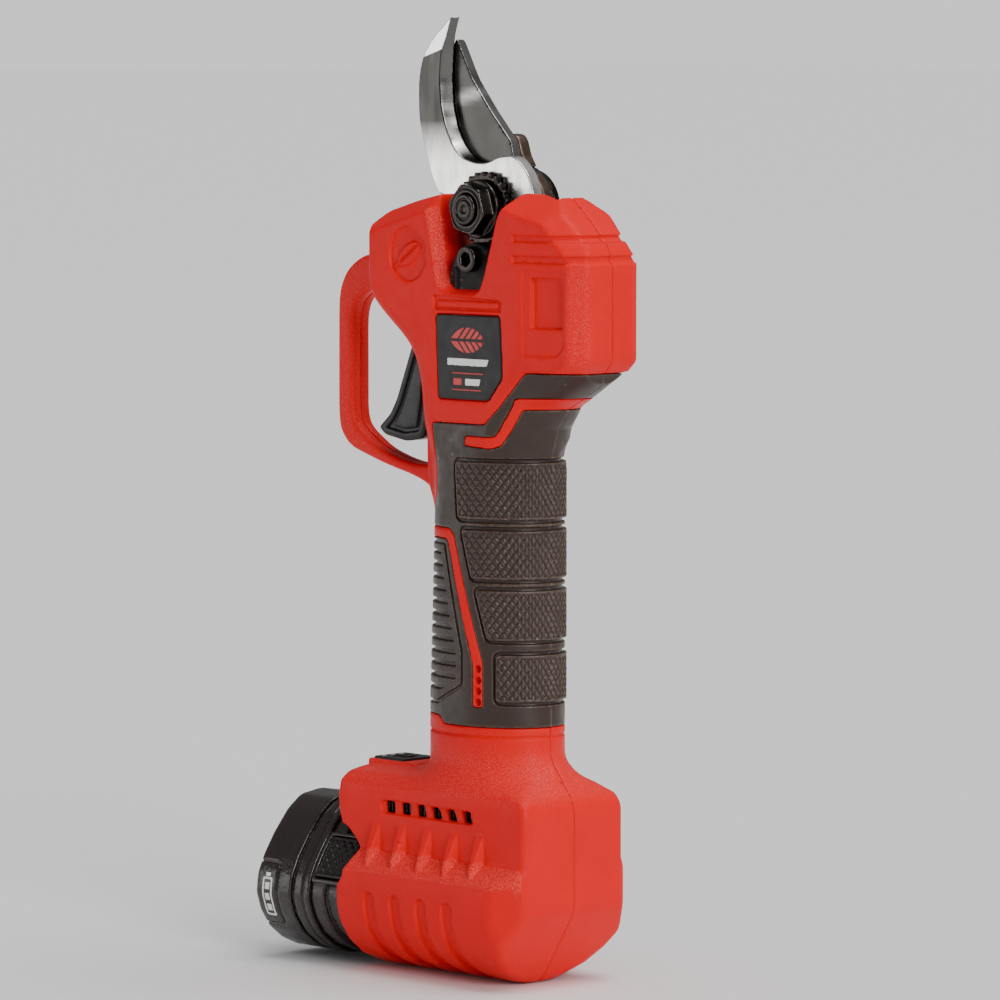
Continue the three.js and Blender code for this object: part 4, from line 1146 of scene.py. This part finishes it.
def make_battery_mark():
    """A white battery pictogram on the near flank of the cap: a case with a terminal and bars."""
    grid = Grid((-80.4, -27.6, 14.6), (-73.4, -20, 31.4), 0.16)
    x, z = grid.x, grid.z
    case = polygon(x, z, [(-79.4, 16), (-75, 16), (-75, 28.2), (-79.4, 28.2)], 0.8)
    drawn = np.abs(case + 0.35) - 0.35
    drawn = either(drawn, block((x, -78.2, -76.2), (z, 28.4, 29.6)))
    for low in spaced(17.6, 3.4, 3):
        drawn = either(drawn, block((x, -78.2, -76.2), (z, low, low + 2.2)))
    film = both(drawn, slab(battery_section(grid), -0.3, 0.08))
    piece("battery_mark_left", surface(grid, film), "print_white", "battery")


# ---- badges and panel
LONG_BAR = [(-6.4, 189.8), (11, 189.8), (12, 192.2), (-6.4, 192.2)]
SHORT_BAR = [(1.4, 183.9), (7.8, 183.9), (8.4, 186.2), (1.4, 186.2)]
RED_BAR = [(-3.8, 183.9), (0.2, 183.9), (0.2, 186.2), (-3.8, 186.2)]
LEAF_CENTRE = (2.6, 197.6)
LEAF_VEINS = spaced(0, 2.6, 5)
LENSES = (-3.6, 0, 3.6)
POWER_KEY = {"x": -42.42, "z": 65.47, "tilt": 0.17}


def badge_leaf(grid):
    """A flat leaf with a midrib and slanting veins."""
    u, v = grid.x - LEAF_CENTRE[0], grid.z - LEAF_CENTRE[1]
    leaf = both(disc(u, v, 0, -5.6, 9.6), disc(u, v, 0, 5.6, 9.6))
    leaf = both(leaf, 0.3 - np.abs(v))
    for shift in LEAF_VEINS:
        leaf = both(leaf, 0.22 - np.abs(u - 0.9 * np.abs(v) + 4.4 - shift))
    return leaf


def make_badges():
    """Dark plates with plain bars, lines and a leaf. No lettering."""
    grid = Grid((-12.6, 14.6, 178.6), (18.8, 16.8, 206.2), 0.2)
    x, z = grid.x, grid.z
    plate = both(polygon(x, z, BADGE, 1.4), slab(grid.y, 15.2, 15.95), 0.25)
    red = badge_leaf(grid)
    red = either(red, block((x, -4.4, 9.6), (z, 187.3, 187.9)))
    red = either(red, block((x, -4.4, 8.6), (z, 182.3, 182.9)))
    red = either(red, polygon(x, z, RED_BAR, 0.4))
    white = either(polygon(x, z, LONG_BAR, 0.4), polygon(x, z, SHORT_BAR, 0.4))

    layers = [("badge_plate", "badge_panel", surface(grid, plate, 0.05))]
    for name, drawn in (("print_red", red), ("print_white", white)):
        layers.append((name, name, surface(grid, both(drawn, slab(grid.y, 15.7, 16)))))
    for side in ("left", "right"):
        for name, material, shape in layers:
            form = flipped(shape) if side == "left" else shape
            nodes = [f"badge_{side}"] if name == "badge_plate" else []
            piece(f"{name}_{side}", form, material, "housing", nodes)


def make_panel():
    """The indicator plate with its lenses, and the power key, whose stroke leans a little."""
    grid = Grid((-51, -8.6, 62), (-34, 8.6, 69), 0.22)
    x, y, z = grid.axes
    cos, sin = math.cos(POWER_KEY["tilt"]), math.sin(POWER_KEY["tilt"])
    dx, dz = x - POWER_KEY["x"], z - POWER_KEY["z"]
    radial = np.hypot(dx * cos + dz * sin, y)
    above = dz * cos - dx * sin

    plate = both(both(slab(x, -49.7, -36.1), np.abs(y) - 6.7, 0.8), slab(z, 65.2, 66.9), 0.25)
    plate = without(plate, radial - 3.9, 0.2)
    windows = [both(np.abs(x + 48) - 0.9, np.abs(y - middle) - 1.3, 0.4) for middle in LENSES]
    for window in windows:
        plate = sunk(plate, both(window, 66 - z), 0.3, 0.1)
    lamps = np.minimum.reduce([both(window + 0.2, slab(z, 66.3, 66.8), 0.1) for window in windows])
    piece("indicator_plate", surface(grid, plate, 0.02), "badge_panel", "housing", ["indicator_panel"])
    piece("indicator_lenses", surface(grid, lamps), "print_white", "housing")

    key = both(radial - 3.55, slab(above, -1.6, 1.5), 0.5)
    key = either(key, both(radial - 4.8, slab(above, -2.6, -1.5), 0.2))
    key = sunk(key, both(np.abs(radial - 1.9) - 0.25, -above), 0.3, 0.1)
    piece("power_key", surface(grid, key, 0.02), "black_smooth", "power_button",
          ["power_button"])


# ---- finish
def dress_frame():
    """Gives each node of the frame the material of its slot."""
    slots = {part["node"]: part["material_slot"] for part in frame["record"]["subparts"]}
    for name, thing in frame["nodes"].items():
        thing.data.materials.clear()
        thing.data.materials.append(MATERIALS[slots[name]])


make_camera()
make_studio()
make_floor()
dress_frame()
for make in (
        make_housing, make_shade_screens, make_grip, make_counter_blade, make_cutting_blade,
        make_carrier, make_nut_and_washer, make_bolt, make_lock_screw, make_gear_frame, make_trigger,
        make_cap, make_stem, make_latches, make_battery_mark, make_badges, make_panel):
    make()
